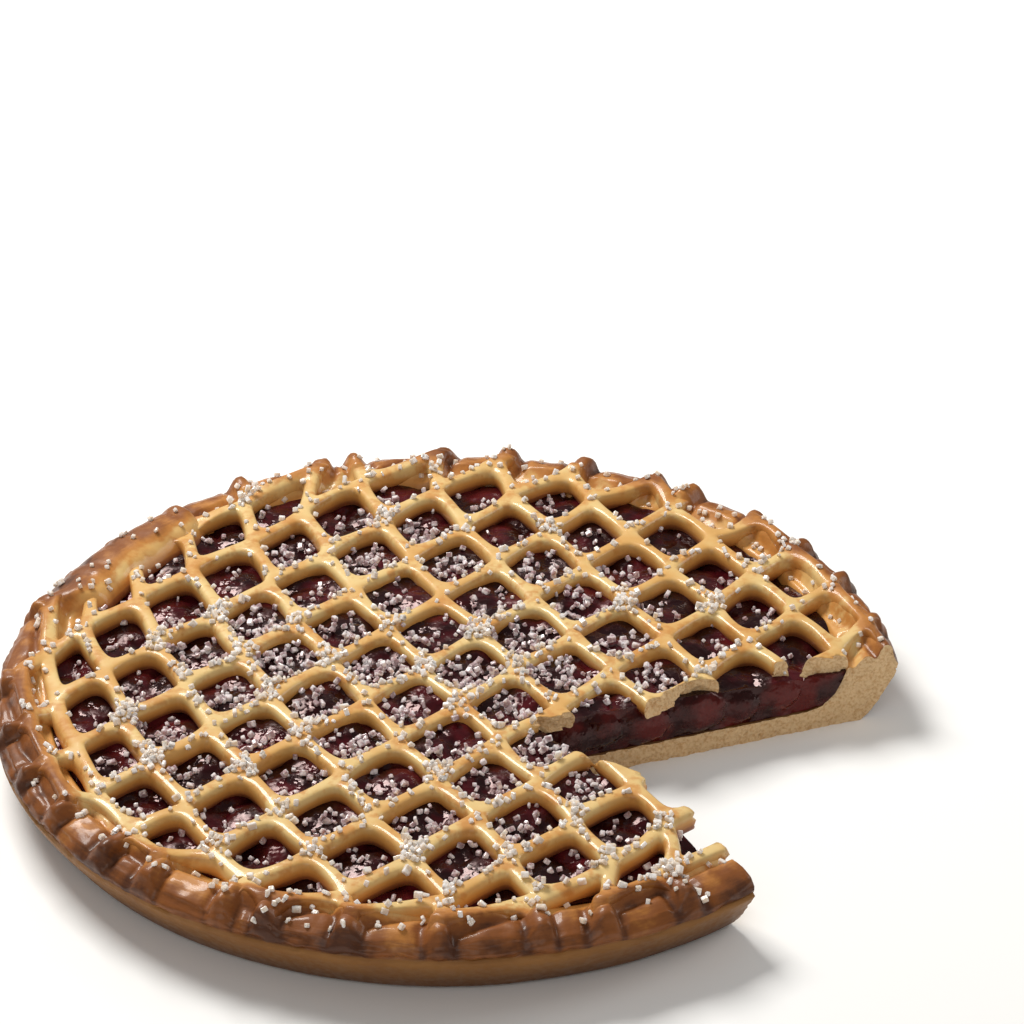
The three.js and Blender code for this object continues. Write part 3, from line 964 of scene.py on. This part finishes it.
def raise_ribs(points, r, angle, raised, fold):
    x, y, z = points.T
    top = smoothstep(z, 17.0, 20.0) * smoothstep(r, 125, 130)
    height = RIB_HEIGHT + RIB_HIGHER_OUTSIDE * smoothstep(r, 135, 140)
    lumps = 0.45 * soft_noise(x, y, 9.0, 61) + 0.3 * soft_noise(x, y, 3.7, 62)
    relief = raised * height - FURROW_DEPTH * furrow(x, y) * (1 - fold) + lumps - RIM_SETTLED
    points[:, 2] += top * relief * (1 - 0.55 * smoothstep(r, 140.5, 144.5))
    points[:, 2] += fold * FOLD_RISE * smoothstep(r, 126, 131) * (1 - smoothstep(r, 134, 143))
    lean = top * raised * np.tanh(5 * (soft_noise(x, y, 45.0, 67) + 0.1))
    points[:, 0] -= lean * np.sin(angle)
    points[:, 1] += lean * np.cos(angle)


on_rim = points_of(shell)[:, 2] > FILLING_HEIGHT
print(int(on_rim.sum()), "points of the shell lie on the rim")

# %% [markdown]
# The lip was pinched: it wanders in and out, is wrinkled, and its lower edge goes up and down. The wall
# below it was held by the tin, so it is almost smooth. The wrinkles are counted round the flan from the
# missing wedge, so that the place where the count starts again lies in the gap.

# %% Shape the rim
LIP_OUTMOST = -1.45  # the lip stays this far inside the solid's
LOWER_EDGE = 17.4
FOLD_REACH = 7.5


def lip_wander(angle):
    waves = 0.5 * np.sin(5 * angle + 1) + 0.4 * np.sin(11 * angle + 2) + 0.3 * np.sin(23 * angle)
    return waves - 1.6


def pinch_lip(points, r, angle, raised, fold):
    z = points[:, 2]
    turned = np.mod(angle - CUT_MIDDLE, math.tau)
    near_lip = smoothstep(r, 140, 144.5) * smoothstep(z, 16.5, 17.2)
    folds = 0.7 * soft_noise(turned * 40, z * 2, 2.0, 63) + 0.4 * soft_noise(turned * 90, z * 3, 1.5, 64)
    out = near_lip * np.minimum(lip_wander(angle) + folds - 0.3 + 0.5 * raised, LIP_OUTMOST)
    on_wall = smoothstep(r, 130, 136) * (1 - smoothstep(z, 14, 17))
    wall = on_wall * 0.25 * soft_noise(turned * 60, z, 6.0, 65)
    inwards = -FOLD_REACH * fold * smoothstep(r, 122, 126) * (1 - smoothstep(r, 128, 139))
    points[:, :2] *= (1 + (out + wall + inwards) / np.maximum(r, 1))[:, None]
    low_edge = np.exp(-((z - LOWER_EDGE) / 1.2) ** 2) * smoothstep(r, 141, 143)
    uneven = 0.9 * soft_noise(turned * 30, turned, 1.6, 68) + 0.5 * soft_noise(turned * 80, turned, 1.3, 69)
    points[:, 2] += low_edge * uneven


def shape_rim(body):
    points = points_of(body)
    x, y, z = points.T
    r, angle = np.hypot(x, y), np.arctan2(y, x)
    fold = folded_over(x, y) * smoothstep(z, 16.5, 20.0)
    raised = rib(x, y) * (1 - 0.8 * fold)
    raise_ribs(points, r, angle, raised, fold)
    pinch_lip(points, r, angle, raised, fold)
    move_points(body, points)
    edit(body)
    finish_edit()


shape_rim(shell)
print("the shell is now", round(float(points_of(shell)[:, 2].max()), 1), "mm high")

# %% [markdown]
# Where the wedge was taken out the baked dough broke, and its face is a crumb of small pits. The walls
# of the cutter are straight here and only rough.

# %% Break the shell
def break_dough(x, y, z):
    """Broken crumb: pits of one to three millimetres."""
    return 0.45 * soft_noise(x + z, y - 2 * z, 2.6, 71) + 0.35 * soft_noise(x - z, y + z, 1.2, 72)


cut_out(shell, wedge_cutter(STRAIGHT_CUT, STRAIGHT_CUT, 0.9, break_dough))
report(shell)

# %% [markdown]
# ## The filling
# Whole stoned cherries lie side by side in a thickened juice. Each could be a ball of its own, but most
# of it would be hidden in the juice, so the filling is one body whose top swells at every cherry. Every
# other row is shifted by half a cherry, and each cherry is shaken a little out of its place.

# %% Places of the cherries
SHAKEN = 5
ROW_STEP = 0.87
ROWS_EACH_WAY = 8


def seeded(seed):
    """A plain random row of numbers between 0 and 1."""
    state = seed
    while True:
        state = (state * 1664525 + 1013904223) % 2 ** 32
        yield state / 2 ** 32


def cherry_places():
    draw = seeded(7)
    places = []
    for row in range(-ROWS_EACH_WAY, ROWS_EACH_WAY + 1):
        for k in range(-ROWS_EACH_WAY, ROWS_EACH_WAY + 1):
            x = (k + math.fmod(row, 2) / 2) * CHERRY + (next(draw) - 0.5) * SHAKEN
            y = row * CHERRY * ROW_STEP + (next(draw) - 0.5) * SHAKEN
            places.append((x, y, next(draw)))
    return places


cherries = cherry_places()
print(len(cherries), "places for cherries, also outside the pan")

# %% [markdown]
# A square grid is lifted into a sheet of round crowns, with glaze run into the dips between them, and
# extruded down. The middle of the flan is filled a little higher. The block is then intersected with
# the round pan that the shell leaves for it.

# %% Make the filling
FILLING_OUTLINE = [
    (0, FILLING_FOOT), (114, FILLING_FOOT), (118.6, 8.6), (122.4, 13), (126.3, 20.6), (126.7, 24), (0, 24),
]
FILLING_DIVISIONS = 165
CHERRY_DIP = 2.2  # from a crown down to the glaze
FILLED_HIGHER = 1.7
GLAZE_SUNK = 0.5


def beside_cherry(x, y, cherry):
    """How far a point is from the middle of a cherry, in radii of that cherry."""
    cx, cy, size = cherry
    return np.hypot(x - cx, y - cy) / (CHERRY * (0.5 + 0.12 * size))


def crowns(x, y):
    """Height of the cherries' tops: 1 on a crown, 0 between the cherries."""
    crown = np.zeros(np.shape(x))
    for cherry in cherries:
        d = beside_cherry(x, y, cherry)
        crown = np.maximum(crown, np.sqrt(np.clip(1 - d * d, 0, 1)))
    return crown


def filling_top(x, y):
    r = np.hypot(x, y)
    wrinkles = 0.22 * soft_noise(x, y, 3.4, 81) + 0.35 * soft_noise(x, y, 8.0, 82)
    full = FILLED_HIGHER * (1 - smoothstep(r, 40, 118))
    return filling_level(r) - GLAZE_SUNK + full - CHERRY_DIP * (1 - crowns(x, y)) + wrinkles


def make_filling():
    start_fresh()
    bpy.ops.mesh.primitive_grid_add(x_subdivisions=FILLING_DIVISIONS, y_subdivisions=FILLING_DIVISIONS,
                                    size=2 * (FILLING_RADIUS + 1.5) * MM)
    body = bpy.context.object
    body.name = body.data.name = "filling"
    edit(body)
    bpy.ops.mesh.extrude_region_move(TRANSFORM_OT_translate={"value": (0, 0, MM)})
    finish_edit()
    points = points_of(body)
    raised = points[:, 2] > 0.5
    points[raised, 2] = filling_top(points[raised, 0], points[raised, 1])
    move_points(body, points)
    pan = spin_outline("pan", FILLING_OUTLINE, lambda p, q: 2.5 if p[0] > 115 else 60, 240)
    apply_modifier(body, "BOOLEAN", operation="INTERSECT", solver="MANIFOLD", object=pan)
    bpy.data.objects.remove(pan)
    return body


filling = make_filling()
report(filling)

# %% [markdown]
# At the cut the cherries stayed whole, and stand out of the glaze by about two millimetres. Here the
# wall of the cutter is pushed back where a cherry lies behind it, at half the height of the filling.

# %% Leave whole cherries at the cut
CHERRY_STANDS_OUT = 2.4
CHERRY_HALF_HEIGHT = 7.2
CHERRY_HIGHER = 3  # between the smallest cherries and the largest


def bulge(x, y, z):
    """The cherries at the cut push the wall of the cutter back."""
    middle = (FILLING_HEIGHT + FILLING_FOOT) / 2
    round_out = np.zeros(np.shape(x))
    for cherry in cherries:
        d = beside_cherry(x, y, cherry)
        h = (z - middle - (cherry[2] - 0.5) * CHERRY_HIGHER) / CHERRY_HALF_HEIGHT
        round_out = np.maximum(round_out, np.sqrt(np.clip(1 - d * d - h * h, 0, 1)))
    return 0.5 + 0.3 * soft_noise(x + z, y - z, 2.4, 83) - CHERRY_STANDS_OUT * round_out


cut_out(filling, wedge_cutter(STRAIGHT_CUT, STRAIGHT_CUT, 1.2, bulge))
report(filling)
select_only(filling)
bpy.ops.object.shade_smooth_by_angle(angle=math.radians(50))

# %% [markdown]
# ## Sugar
# The coarse sugar is crushed crystal: small blocks of about two millimetres with worn edges, whitish
# and a little translucent. Five crystals are modelled from cubes, and every grain is one of them,
# turned at random, so that no two look the same.

# %% Five crystals
CRYSTAL_SHAPES = [
    (1.0, 0.95, 0.8), (1.1, 0.85, 0.9), (0.9, 1.0, 0.7), (1.15, 0.95, 0.75), (0.85, 0.8, 0.8),
]
CRYSTAL_UNEVEN = 0.26
CRYSTAL_BEVEL = 0.10


def crystal(size):
    start_fresh()
    bpy.ops.mesh.primitive_cube_add(size=MM)
    block = bpy.context.object
    corners = points_of(block) * size
    corners += CRYSTAL_UNEVEN * np.sin(corners * 37 + size[0] * 50)
    move_points(block, corners)
    edit(block)
    bpy.ops.mesh.bevel(offset=CRYSTAL_BEVEL * MM, segments=1, affect="EDGES")
    finish_edit(smooth=False)
    faces = [list(face.vertices) for face in block.data.polygons]
    points = points_of(block)
    bpy.data.objects.remove(block)
    return points, faces


crystals = [crystal(np.array(shape)) for shape in CRYSTAL_SHAPES]
print("a crystal has", len(crystals[0][1]), "faces")

# %% [markdown]
# A baker sprinkles by hand, so the sugar is uneven: many grains fall through the holes of the net, some
# stay on the strands, and where the hand paused there are heaps on the knuckles. Each knuckle with a
# heap is named here by its hole, with a measure of how much lies on it.

# %% Where grains fall
GRAIN = 1.75
KNUCKLE_HEAPS = {
    (1, -1): 30, (-4, -2): 30, (1, -4): 24, (3, 0): 26, (-4, -3): 28, (1, 5): 18, (-3, -4): 22,
    (-2, 2): 20, (-2, -4): 16, (1, 4): 12, (-1, -3): 14, (-2, -2): 14, (3, -2): 12, (-1, -2): 12,
    (0, -1): 12, (-1, 3): 12, (-3, 1): 10, (6, 1): 8, (-1, -6): 8, (0, 4): 10, (-3, -1): 12,
    (-1, 1): 10, (-2, -1): 10, (-2, -3): 14, (0, 3): 8, (0, 0): 10, (-3, 0): 8, (1, 0): 10,
    (0, -2): 8, (-2, 3): 6, (-4, 0): 6, (3, 2): 6, (4, 1): 8,
}
HEAP_SCALE = 2.4
GRAINS_IN_HOLE = 44
FEWER_OUTSIDE = 33
HOLE_SPREAD = (5.6, 7.0)
HOLE_SHIFT = (0, -2.5)
HEAP_SPREAD = 3.0
LOOSE_SPREAD = 4.5
RIM_GRAINS = 220


def grains_in_hole(draw, centre, r):
    many = (GRAINS_IN_HOLE - FEWER_OUTSIDE * smoothstep(r, 45, 122)) * draw.uniform(0.2, 1.6)
    for _ in range(int(many * (r < FILLING_RADIUS))):
        away = draw.normal(0, HOLE_SPREAD) + HOLE_SHIFT
        yield (*(centre + away), draw.uniform(0.7, 1.2))


def grains_on_knuckle(draw, middle, r, heap):
    few = int(draw.integers(0, 6)) if r < CREST_RADIUS - 6 else 0
    spread = HEAP_SPREAD if heap else LOOSE_SPREAD
    for _ in range(int(heap * HEAP_SCALE) + few):
        yield (*(middle + draw.normal(0, spread, 2)), draw.uniform(0.75, 1.25))


def grains_on_strand(draw, start, end, r):
    for _ in range(int(draw.integers(0, 6)) if r < CREST_RADIUS else 1):
        share = draw.uniform(0, 1)
        yield (*(start + (end - start) * share + draw.normal(0, 1.5, 2)), draw.uniform(0.7, 1.2))


def grain_spots():
    """Every grain as x, y and how large it is, in the order in which they fall."""
    draw = np.random.default_rng(5)
    spots = []
    for i, j in cells(LIP_RADIUS):
        centre = squeezed(hole_centre(i, j))
        r = math.hypot(*centre)
        spots += grains_in_hole(draw, centre, r)
        upper, lower = (squeezed(end) for end in bar(i, j))
        spots += grains_on_knuckle(draw, (upper + lower) / 2, r, KNUCKLE_HEAPS.get((i, j), 0))
        spots += grains_on_strand(draw, upper, squeezed(bar(i, j - 1)[1]), r)
        spots += grains_on_strand(draw, lower, squeezed(bar(i - 1, j)[0]), r)
    for _ in range(RIM_GRAINS):
        angle, r = draw.uniform(0, math.tau), draw.normal(132, 5)
        spots.append((r * math.cos(angle), r * math.sin(angle), draw.uniform(0.8, 1.1)))
    return spots


falling = grain_spots()
print(len(falling), "grains are thrown")

# %% [markdown]
# A grain falls until it meets net, filling or shell, or a grain that lies there already. A ray sent
# down finds the surface, and a list of what has landed gives the height of the stack. A physics
# simulation could do this as well, but it would be slow for so many grains.

# %% Land the grains
LAYER = 0.78  # the height of a layer of grains, in grains
HIGHEST_STACK = 3
HALF_GRAIN = 0.72  # from the middle of a grain to its corners, in grains
FALL_FROM = 60


class Landing:
    """Finds the surface under a point, and what sugar already lies there."""

    def __init__(self, *pieces):
        self.trees = [self.tree_of(piece) for piece in pieces]
        self.lying = {}

    @staticmethod
    def tree_of(piece):
        points = [tuple(p) for p in points_of(piece)]
        faces = [tuple(face.vertices) for face in piece.data.polygons]
        return BVHTree.FromPolygons(points, faces)

    def surface(self, x, y):
        """Highest point below, its normal and which piece it is on."""
        best = (None, None, -1)
        for number, tree in enumerate(self.trees):
            hit, normal, _, _ = tree.ray_cast(Vector((x, y, FALL_FROM)), Vector((0, 0, -1)))
            if hit is not None and (best[0] is None or hit.z > best[0].z):
                best = (hit, normal, number)
        return best

    def stack(self, x, y, size):
        """How many grains already lie under this one."""
        cell = (int(x // GRAIN), int(y // GRAIN))
        near = [grain for di in (-1, 0, 1) for dj in (-1, 0, 1)
                for grain in self.lying.get((cell[0] + di, cell[1] + dj), [])]
        under = [k + 1 for gx, gy, k in near if math.hypot(gx - x, gy - y) < size * HALF_GRAIN]
        level = max(under, default=0)
        if level < HIGHEST_STACK:
            self.lying.setdefault(cell, []).append((x, y, level))
        return level


landing = Landing(net, filling, shell)
print("at the middle of a hole a grain meets", round(landing.surface(*hole_centre(0, 0))[0].z, 1), "mm")

# %% [markdown]
# Grains that would lie at the cut, on the lip, low down or on a slope are left out, as they would have
# fallen off. All grains on one piece become one mesh, which is much lighter than thousands of objects.

# %% Scatter the grains
CLEAR_OF_CUT = 2.2
CLEAR_OF_LIP = 3
LOWEST_LANDING = 17
STEEPEST = 0.35  # the upward part of the normal
SETTLED = 0.20  # a grain's middle above what it lies on, in grains
SUGAR_TOP = 29.0
TILT = 0.12  # a lying grain tilts little, but turns freely


def turn(draw):
    """A random rotation, as a matrix."""
    a, b, c = draw.uniform(0, math.tau, 3)
    turned = np.eye(3)
    for angle, (u, v) in ((a, (0, 1)), (b * TILT, (1, 2)), (c * TILT, (0, 2)), (a * 3, (0, 1))):
        plain = np.eye(3)
        plain[u, u] = plain[v, v] = math.cos(angle)
        plain[u, v], plain[v, u] = -math.sin(angle), math.sin(angle)
        turned = plain @ turned
    return turned


def build_sugar(name, grains):
    """One mesh from many crystals; a grain is its middle, its size and its shape number."""
    draw = np.random.default_rng(len(grains))
    points, faces = [], []
    for x, y, z, size, shape in grains:
        corners, sides = crystals[shape]
        first = len(points) * len(corners)
        points.append(corners @ turn(draw).T * size * GRAIN + (x, y, z))
        faces += [[first + k for k in side] for side in sides]
    mesh = bpy.data.meshes.new(name)
    mesh.from_pydata(np.vstack(points) * MM, [], faces)
    piece = bpy.data.objects.new(name, mesh)
    bpy.context.scene.collection.objects.link(piece)
    report(piece)
    return piece


def scatter():
    """The grains that stay, in three lots: on the net, on the filling and on the shell."""
    lots = ([], [], [])
    draw = np.random.default_rng(8)
    for x, y, size in falling:
        if inside_wedge(x, y) > -CLEAR_OF_CUT or math.hypot(x, y) > LIP_RADIUS - CLEAR_OF_LIP:
            continue
        hit, normal, number = landing.surface(x, y)
        if hit is None or hit.z < LOWEST_LANDING or normal.z < STEEPEST:
            continue
        level = landing.stack(x, y, size * GRAIN)
        if level >= HIGHEST_STACK:
            continue
        height = hit.z + size * GRAIN * (SETTLED + LAYER * level)
        if height + size * GRAIN * HALF_GRAIN > SUGAR_TOP:
            continue
        lots[number].append((x, y, height, size, int(draw.integers(len(crystals)))))
    return lots


on_net, on_filling, on_shell = scatter()
sugar_net = build_sugar("sugar_on_net", on_net)
sugar_filling = build_sugar("sugar_on_filling", on_filling)
sugar_rim = build_sugar("sugar_on_rim", on_shell)
print(len(on_net), len(on_filling), len(on_shell), "grains on net, filling and rim")

# %% [markdown]
# ## Finishes
# The dough is one dough everywhere, but the oven treated it differently: pale where it lies low and moist,
# golden on the strands, deep brown on the rim, and beige crumb where it broke. A painted picture could hold
# that; here each point is told how brown it is by an attribute worked out from its place, so that the colour
# always fits the shape. That attribute also carries painted shade: darker in the furrows of the rim and at
# its front.

# %% How brown each point is
def browning_and_shade(piece):
    """0 where the dough is pale, 1 where it is dark: by radius and on ribs as baked, with patches, and
    darker in the furrows and at the front of the rim as painted shade.
    """
    x, y, _ = points_of(piece).T
    r = np.hypot(x, y)
    fold = folded_over(x, y)
    r = r + 5 * fold
    outwards = smoothstep(r, 126, 136) * (0.46 + 0.12 * fold) + smoothstep(r, 136, 144) * 0.26
    raised = rib(x, y) * smoothstep(r, 129, 137) * 0.12 * (1 - fold)
    # painted shade: the furrows beside the ribs are made darker
    furrows = furrow(x, y) * smoothstep(r, 129, 134) * 0.30 * (1 - 0.6 * fold)
    # painted shade: the front of the rim, turned away from the main light, is made darker
    front = 0.04 * smoothstep(r, 130, 140) * smoothstep(-y, 40, 120)
    patches = 0.16 * soft_noise(x, y, 17.0, 91) + 0.14 * soft_noise(x, y, 5.0, 92)
    return np.clip(outwards + raised + furrows + front + patches * smoothstep(r, 118, 131) + 0.03, 0, 1)


def strand_side(piece):
    """0 on top of a strand, 1 down its sides; the rim has none."""
    x, y, z = points_of(piece).T
    r = np.hypot(x, y)
    return smoothstep(strand_top(r) - z, 0.5, 5.2) * (1 - smoothstep(r, 122, 131))


def along_the_rim(piece):
    """Millimetres round the flan, counted from the missing wedge, and millimetres outwards and down."""
    x, y, z = points_of(piece).T
    angle = np.mod(np.arctan2(y, x) - CUT_MIDDLE, math.tau)
    return angle * LIP_RADIUS, np.hypot(x, y) - z


for piece in (net, shell):
    give_attribute(piece, "brown", browning_and_shade(piece))
    give_attribute(piece, "side", strand_side(piece))
    for name, values in zip(("round", "across"), along_the_rim(piece)):
        give_attribute(piece, name, values)
    print(f"{piece.name} is {browning_and_shade(piece).mean():.2f} brown on average")

# %% [markdown]
# Baked dough is many colours laid over each other: a pale ground, golden patches, an orange blush where the
# egg wash ran, brown on the rim, and over these painted shade: the sides of the strands darken downwards,
# their foot is a dark red that is partly juice stain and partly painted shade, and the furrows of the rim
# are nearly black.
# So the colours are mixed one over the other, each by a soft step over an attribute and a little noise,
# because a single ramp of colours looks painted.

# %% Colours of the dough
PALE = (0.75, 0.535, 0.225)
GOLDEN = (0.67, 0.375, 0.115)
BLUSH = (0.56, 0.235, 0.05)
# The side colours darken down the strands as painted shade; at the foot the colour is partly a juice stain
# and partly painted shade.
SIDE_HIGH_SHADE = (0.66, 0.325, 0.082)
SIDE_LOW_SHADE = (0.50, 0.205, 0.05)
JUICE_AND_SHADE = (0.15, 0.028, 0.018)
RIM_GOLD = (0.50, 0.205, 0.045)
RIM_BROWN = (0.23, 0.072, 0.0145)
RIM_DARK = (0.075, 0.022, 0.007)
CRUMB_PALE = (0.76, 0.53, 0.29)
CRUMB_DEEP = (0.58, 0.34, 0.15)


def dough_colour(finish, fine):
    brown, side, torn = finish.attribute("brown"), finish.attribute("side"), finish.attribute("torn")
    wide, blotch = finish.noise(55, 3), finish.noise(130, 3)
    skin = finish.mix(finish.steps(wide, 0.38, 0.62), PALE, GOLDEN)
    skin = finish.mix(finish.steps(blotch + 0.5 * (fine - 0.5), 0.48, 0.70) * 0.75, skin, BLUSH)
    # painted shade: the strands darken down their sides, and at the foot the colour is partly juice stain,
    # partly painted shade
    skin = finish.mix(finish.steps(side, 0.0, 0.40), skin, SIDE_HIGH_SHADE)
    skin = finish.mix(finish.steps(side, 0.35, 0.85), skin, SIDE_LOW_SHADE)
    skin = finish.mix(finish.steps(side, 0.80, 1.0) * 0.7, skin, JUICE_AND_SHADE)
    streaks = finish.steps(brown, 0.05, 0.3) * (finish.streaks(6.0, 1.4) - 0.5)
    uneven = brown + 0.35 * (blotch - 0.5) + 0.30 * (fine - 0.5) + 0.22 * streaks
    skin = finish.mix(finish.steps(uneven, 0.08, 0.36), skin, RIM_GOLD)
    skin = finish.mix(finish.steps(uneven, 0.32, 0.68), skin, RIM_BROWN)
    # the darkest brown is reached mostly where the furrows add painted shade
    skin = finish.mix(finish.steps(uneven, 0.68, 1.05), skin, RIM_DARK)
    inner = finish.mix(finish.steps(finish.noise(1000, 3), 0.28, 0.60), CRUMB_DEEP, CRUMB_PALE)
    return finish.mix(torn, skin, inner)


print("the dough goes from", PALE, "to", RIM_DARK)

# %% [markdown]
# The egg wash is a thin coat with sharp glints. It is thinner down the sides of the strands and on the
# rim, and there is none on the crumb. Fine relief, the grain of the skin and the pores of the crumb, is
# left to a bump: as mesh it would take millions of points.

# %% Baked dough
def baked(name):
    finish = Finish(name, Specular_IOR_Level=0.22, Coat_Roughness=0.13, Coat_IOR=1.45)
    fine = finish.noise(420, 4)
    side, torn, brown = finish.attribute("side"), finish.attribute("torn"), finish.attribute("brown")
    finish.feed(Base_Color=dough_colour(finish, fine), Roughness=finish.steps(fine, 0.3, 0.7, 0.42, 0.6))
    on_rim = finish.steps(brown, 0.1, 0.5)
    finish.feed(Coat_Weight=(1 - torn) * (0.6 - 0.5 * side) * (1 - 0.55 * on_rim))
    relief = 0.6 * fine + finish.noise(150, 2) + 0.6 * on_rim * finish.streaks(6.0, 1.4)
    finish.bump(relief + torn * 1.6 * (finish.noise(900, 3) + finish.spots(900)), 0.45, 0.4)
    return finish


dress(net, baked("baked net"))

# %% [markdown]
# The shell is of the same dough, but its wall stood against the tin: dull and without egg wash. Its brown is
# dark and grows darker towards the base; that darkening is painted shade, for the wall leans out and faces
# down. It could be a second material with its own faces. A soft step over the height is better, because the
# edge between the two isn't sharp on a real flan.

# %% Baked shell
# The wall's brown high and low: the darker colour towards the base is painted shade.
WALL_HIGH = (0.28, 0.125, 0.032)
WALL_LOW_SHADE = (0.125, 0.048, 0.013)
WALL_SPOT = (0.17, 0.064, 0.016)


def baked_shell():
    finish = baked("baked shell")
    skin = Sum(finish.tree, finish.shader.inputs["Base Color"].links[0].from_socket)
    coat = Sum(finish.tree, finish.shader.inputs["Coat Weight"].links[0].from_socket)
    height = finish.node("ShaderNodeSeparateXYZ", 2, Vector=finish.place)
    # painted shade: the wall darkens towards the base
    wall = finish.mix(finish.steps(height, 1 * MM, 17 * MM), WALL_LOW_SHADE, WALL_HIGH)
    wall = finish.mix(finish.steps(finish.noise(45, 3), 0.4, 0.7) * 0.5, wall, WALL_SPOT)
    on_wall = finish.steps(height, 16.4 * MM, 17.4 * MM, 1.0, 0.0) * (1 - finish.attribute("torn"))
    finish.feed(Base_Color=finish.mix(on_wall, skin, wall), Coat_Weight=coat * (1 - 0.85 * on_wall))
    return finish


dress(shell, baked_shell())

# %% [markdown]
# Sour cherries in glaze are nearly black in the dips and wine red on the crowns. A glass-like material
# could let light into them, but it is slow and looks grey under a soft light. A dark red with a smooth,
# slightly wrinkled surface gives the same impression. The tint keeps the glints reddish.

# %% Cherries in glaze
GLAZE_DEEP = (0.012, 0.0012, 0.002)
GLAZE_BRIGHT = (0.075, 0.005, 0.009)
FRUIT_DEEP = (0.016, 0.002, 0.002)
FRUIT_BRIGHT = (0.095, 0.008, 0.006)
GLINT_TINT = (1.0, 0.66, 0.64)


def cherry_finish():
    finish = Finish("cherry filling", Specular_IOR_Level=0.36, Specular_Tint=GLINT_TINT)
    wide, fine = finish.noise(75, 3), finish.noise(230, 2)
    body = finish.mix(finish.steps(wide, 0.42, 0.70), GLAZE_DEEP, GLAZE_BRIGHT)
    inner = finish.mix(finish.steps(wide, 0.40, 0.65), FRUIT_DEEP, FRUIT_BRIGHT)
    finish.feed(Base_Color=finish.mix(finish.attribute("torn"), body, inner))
    finish.feed(Roughness=finish.steps(fine, 0.42, 0.66, 0.06, 0.32))
    finish.bump(0.6 * wide + fine + 0.12 * finish.noise(600, 2), 0.6, 1.3)
    return finish


dress(filling, cherry_finish())

# %% [markdown]
# A crystal is clear, but a crushed one is cloudy: light goes in, is scattered and comes out a little
# further on, which subsurface scattering does. What lies under a grain shines through, so that sugar on
# the glaze is pinkish and darker, and sugar on dough cream. Each finish has a cloudy and a clear colour.

# %% Sugar crystals
SUGAR_ON_DOUGH = ((0.78, 0.66, 0.55), (0.93, 0.88, 0.85))
SUGAR_ON_RIM = ((0.76, 0.62, 0.50), (0.90, 0.82, 0.76))
SUGAR_ON_GLAZE = ((0.42, 0.30, 0.32), (0.84, 0.76, 0.77))
SCATTERING = (1.0, 0.95, 0.9)


def sugar_finish(name, tint, clear):
    finish = Finish(name, Roughness=0.18, Subsurface_Weight=0.7, Subsurface_Scale=0.002)
    finish.shader.inputs["Subsurface Radius"].default_value = SCATTERING
    cloudy = finish.steps(finish.noise(500, 2), 0.40, 0.60)
    finish.feed(Base_Color=finish.mix(cloudy, tint, clear))
    finish.bump(finish.noise(1500, 2), 0.3, 0.2)
    return finish


dress(sugar_net, sugar_finish("sugar on dough", *SUGAR_ON_DOUGH))
dress(sugar_rim, sugar_finish("sugar on rim", *SUGAR_ON_RIM))
dress(sugar_filling, sugar_finish("sugar on glaze", *SUGAR_ON_GLAZE))

# %% [markdown]
# The floor is a matt, nearly even white, so that the flan's shadow is all that is seen on it.

# %% Finish of the floor
FLOOR_GREYER = (0.93, 0.93, 0.925)
FLOOR_WHITER = (0.95, 0.95, 0.945)

floor_finish = Finish("floor", Roughness=0.7)
floor_finish.feed(Base_Color=floor_finish.mix(floor_finish.noise(8, 2), FLOOR_GREYER, FLOOR_WHITER))
dress(floor, floor_finish)

# %% [markdown]
# ## Hand the pieces over
# Every piece rides on the flan's one body and stands for its node of the imported model.

# %% Riding and replacing
PARTS = [
    (shell, "crust_shell", "baked_shell"), (sugar_rim, "crust_shell", "baked_shell"),
    (filling, "cherry_filling", "cherry_filling"), (sugar_filling, "cherry_filling", "cherry_filling"),
    (net, "lattice_top", "baked_net"), (sugar_net, "lattice_top", "baked_net"),
]
for piece, node, slot in PARTS:
    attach(piece, "root")
    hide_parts(node)
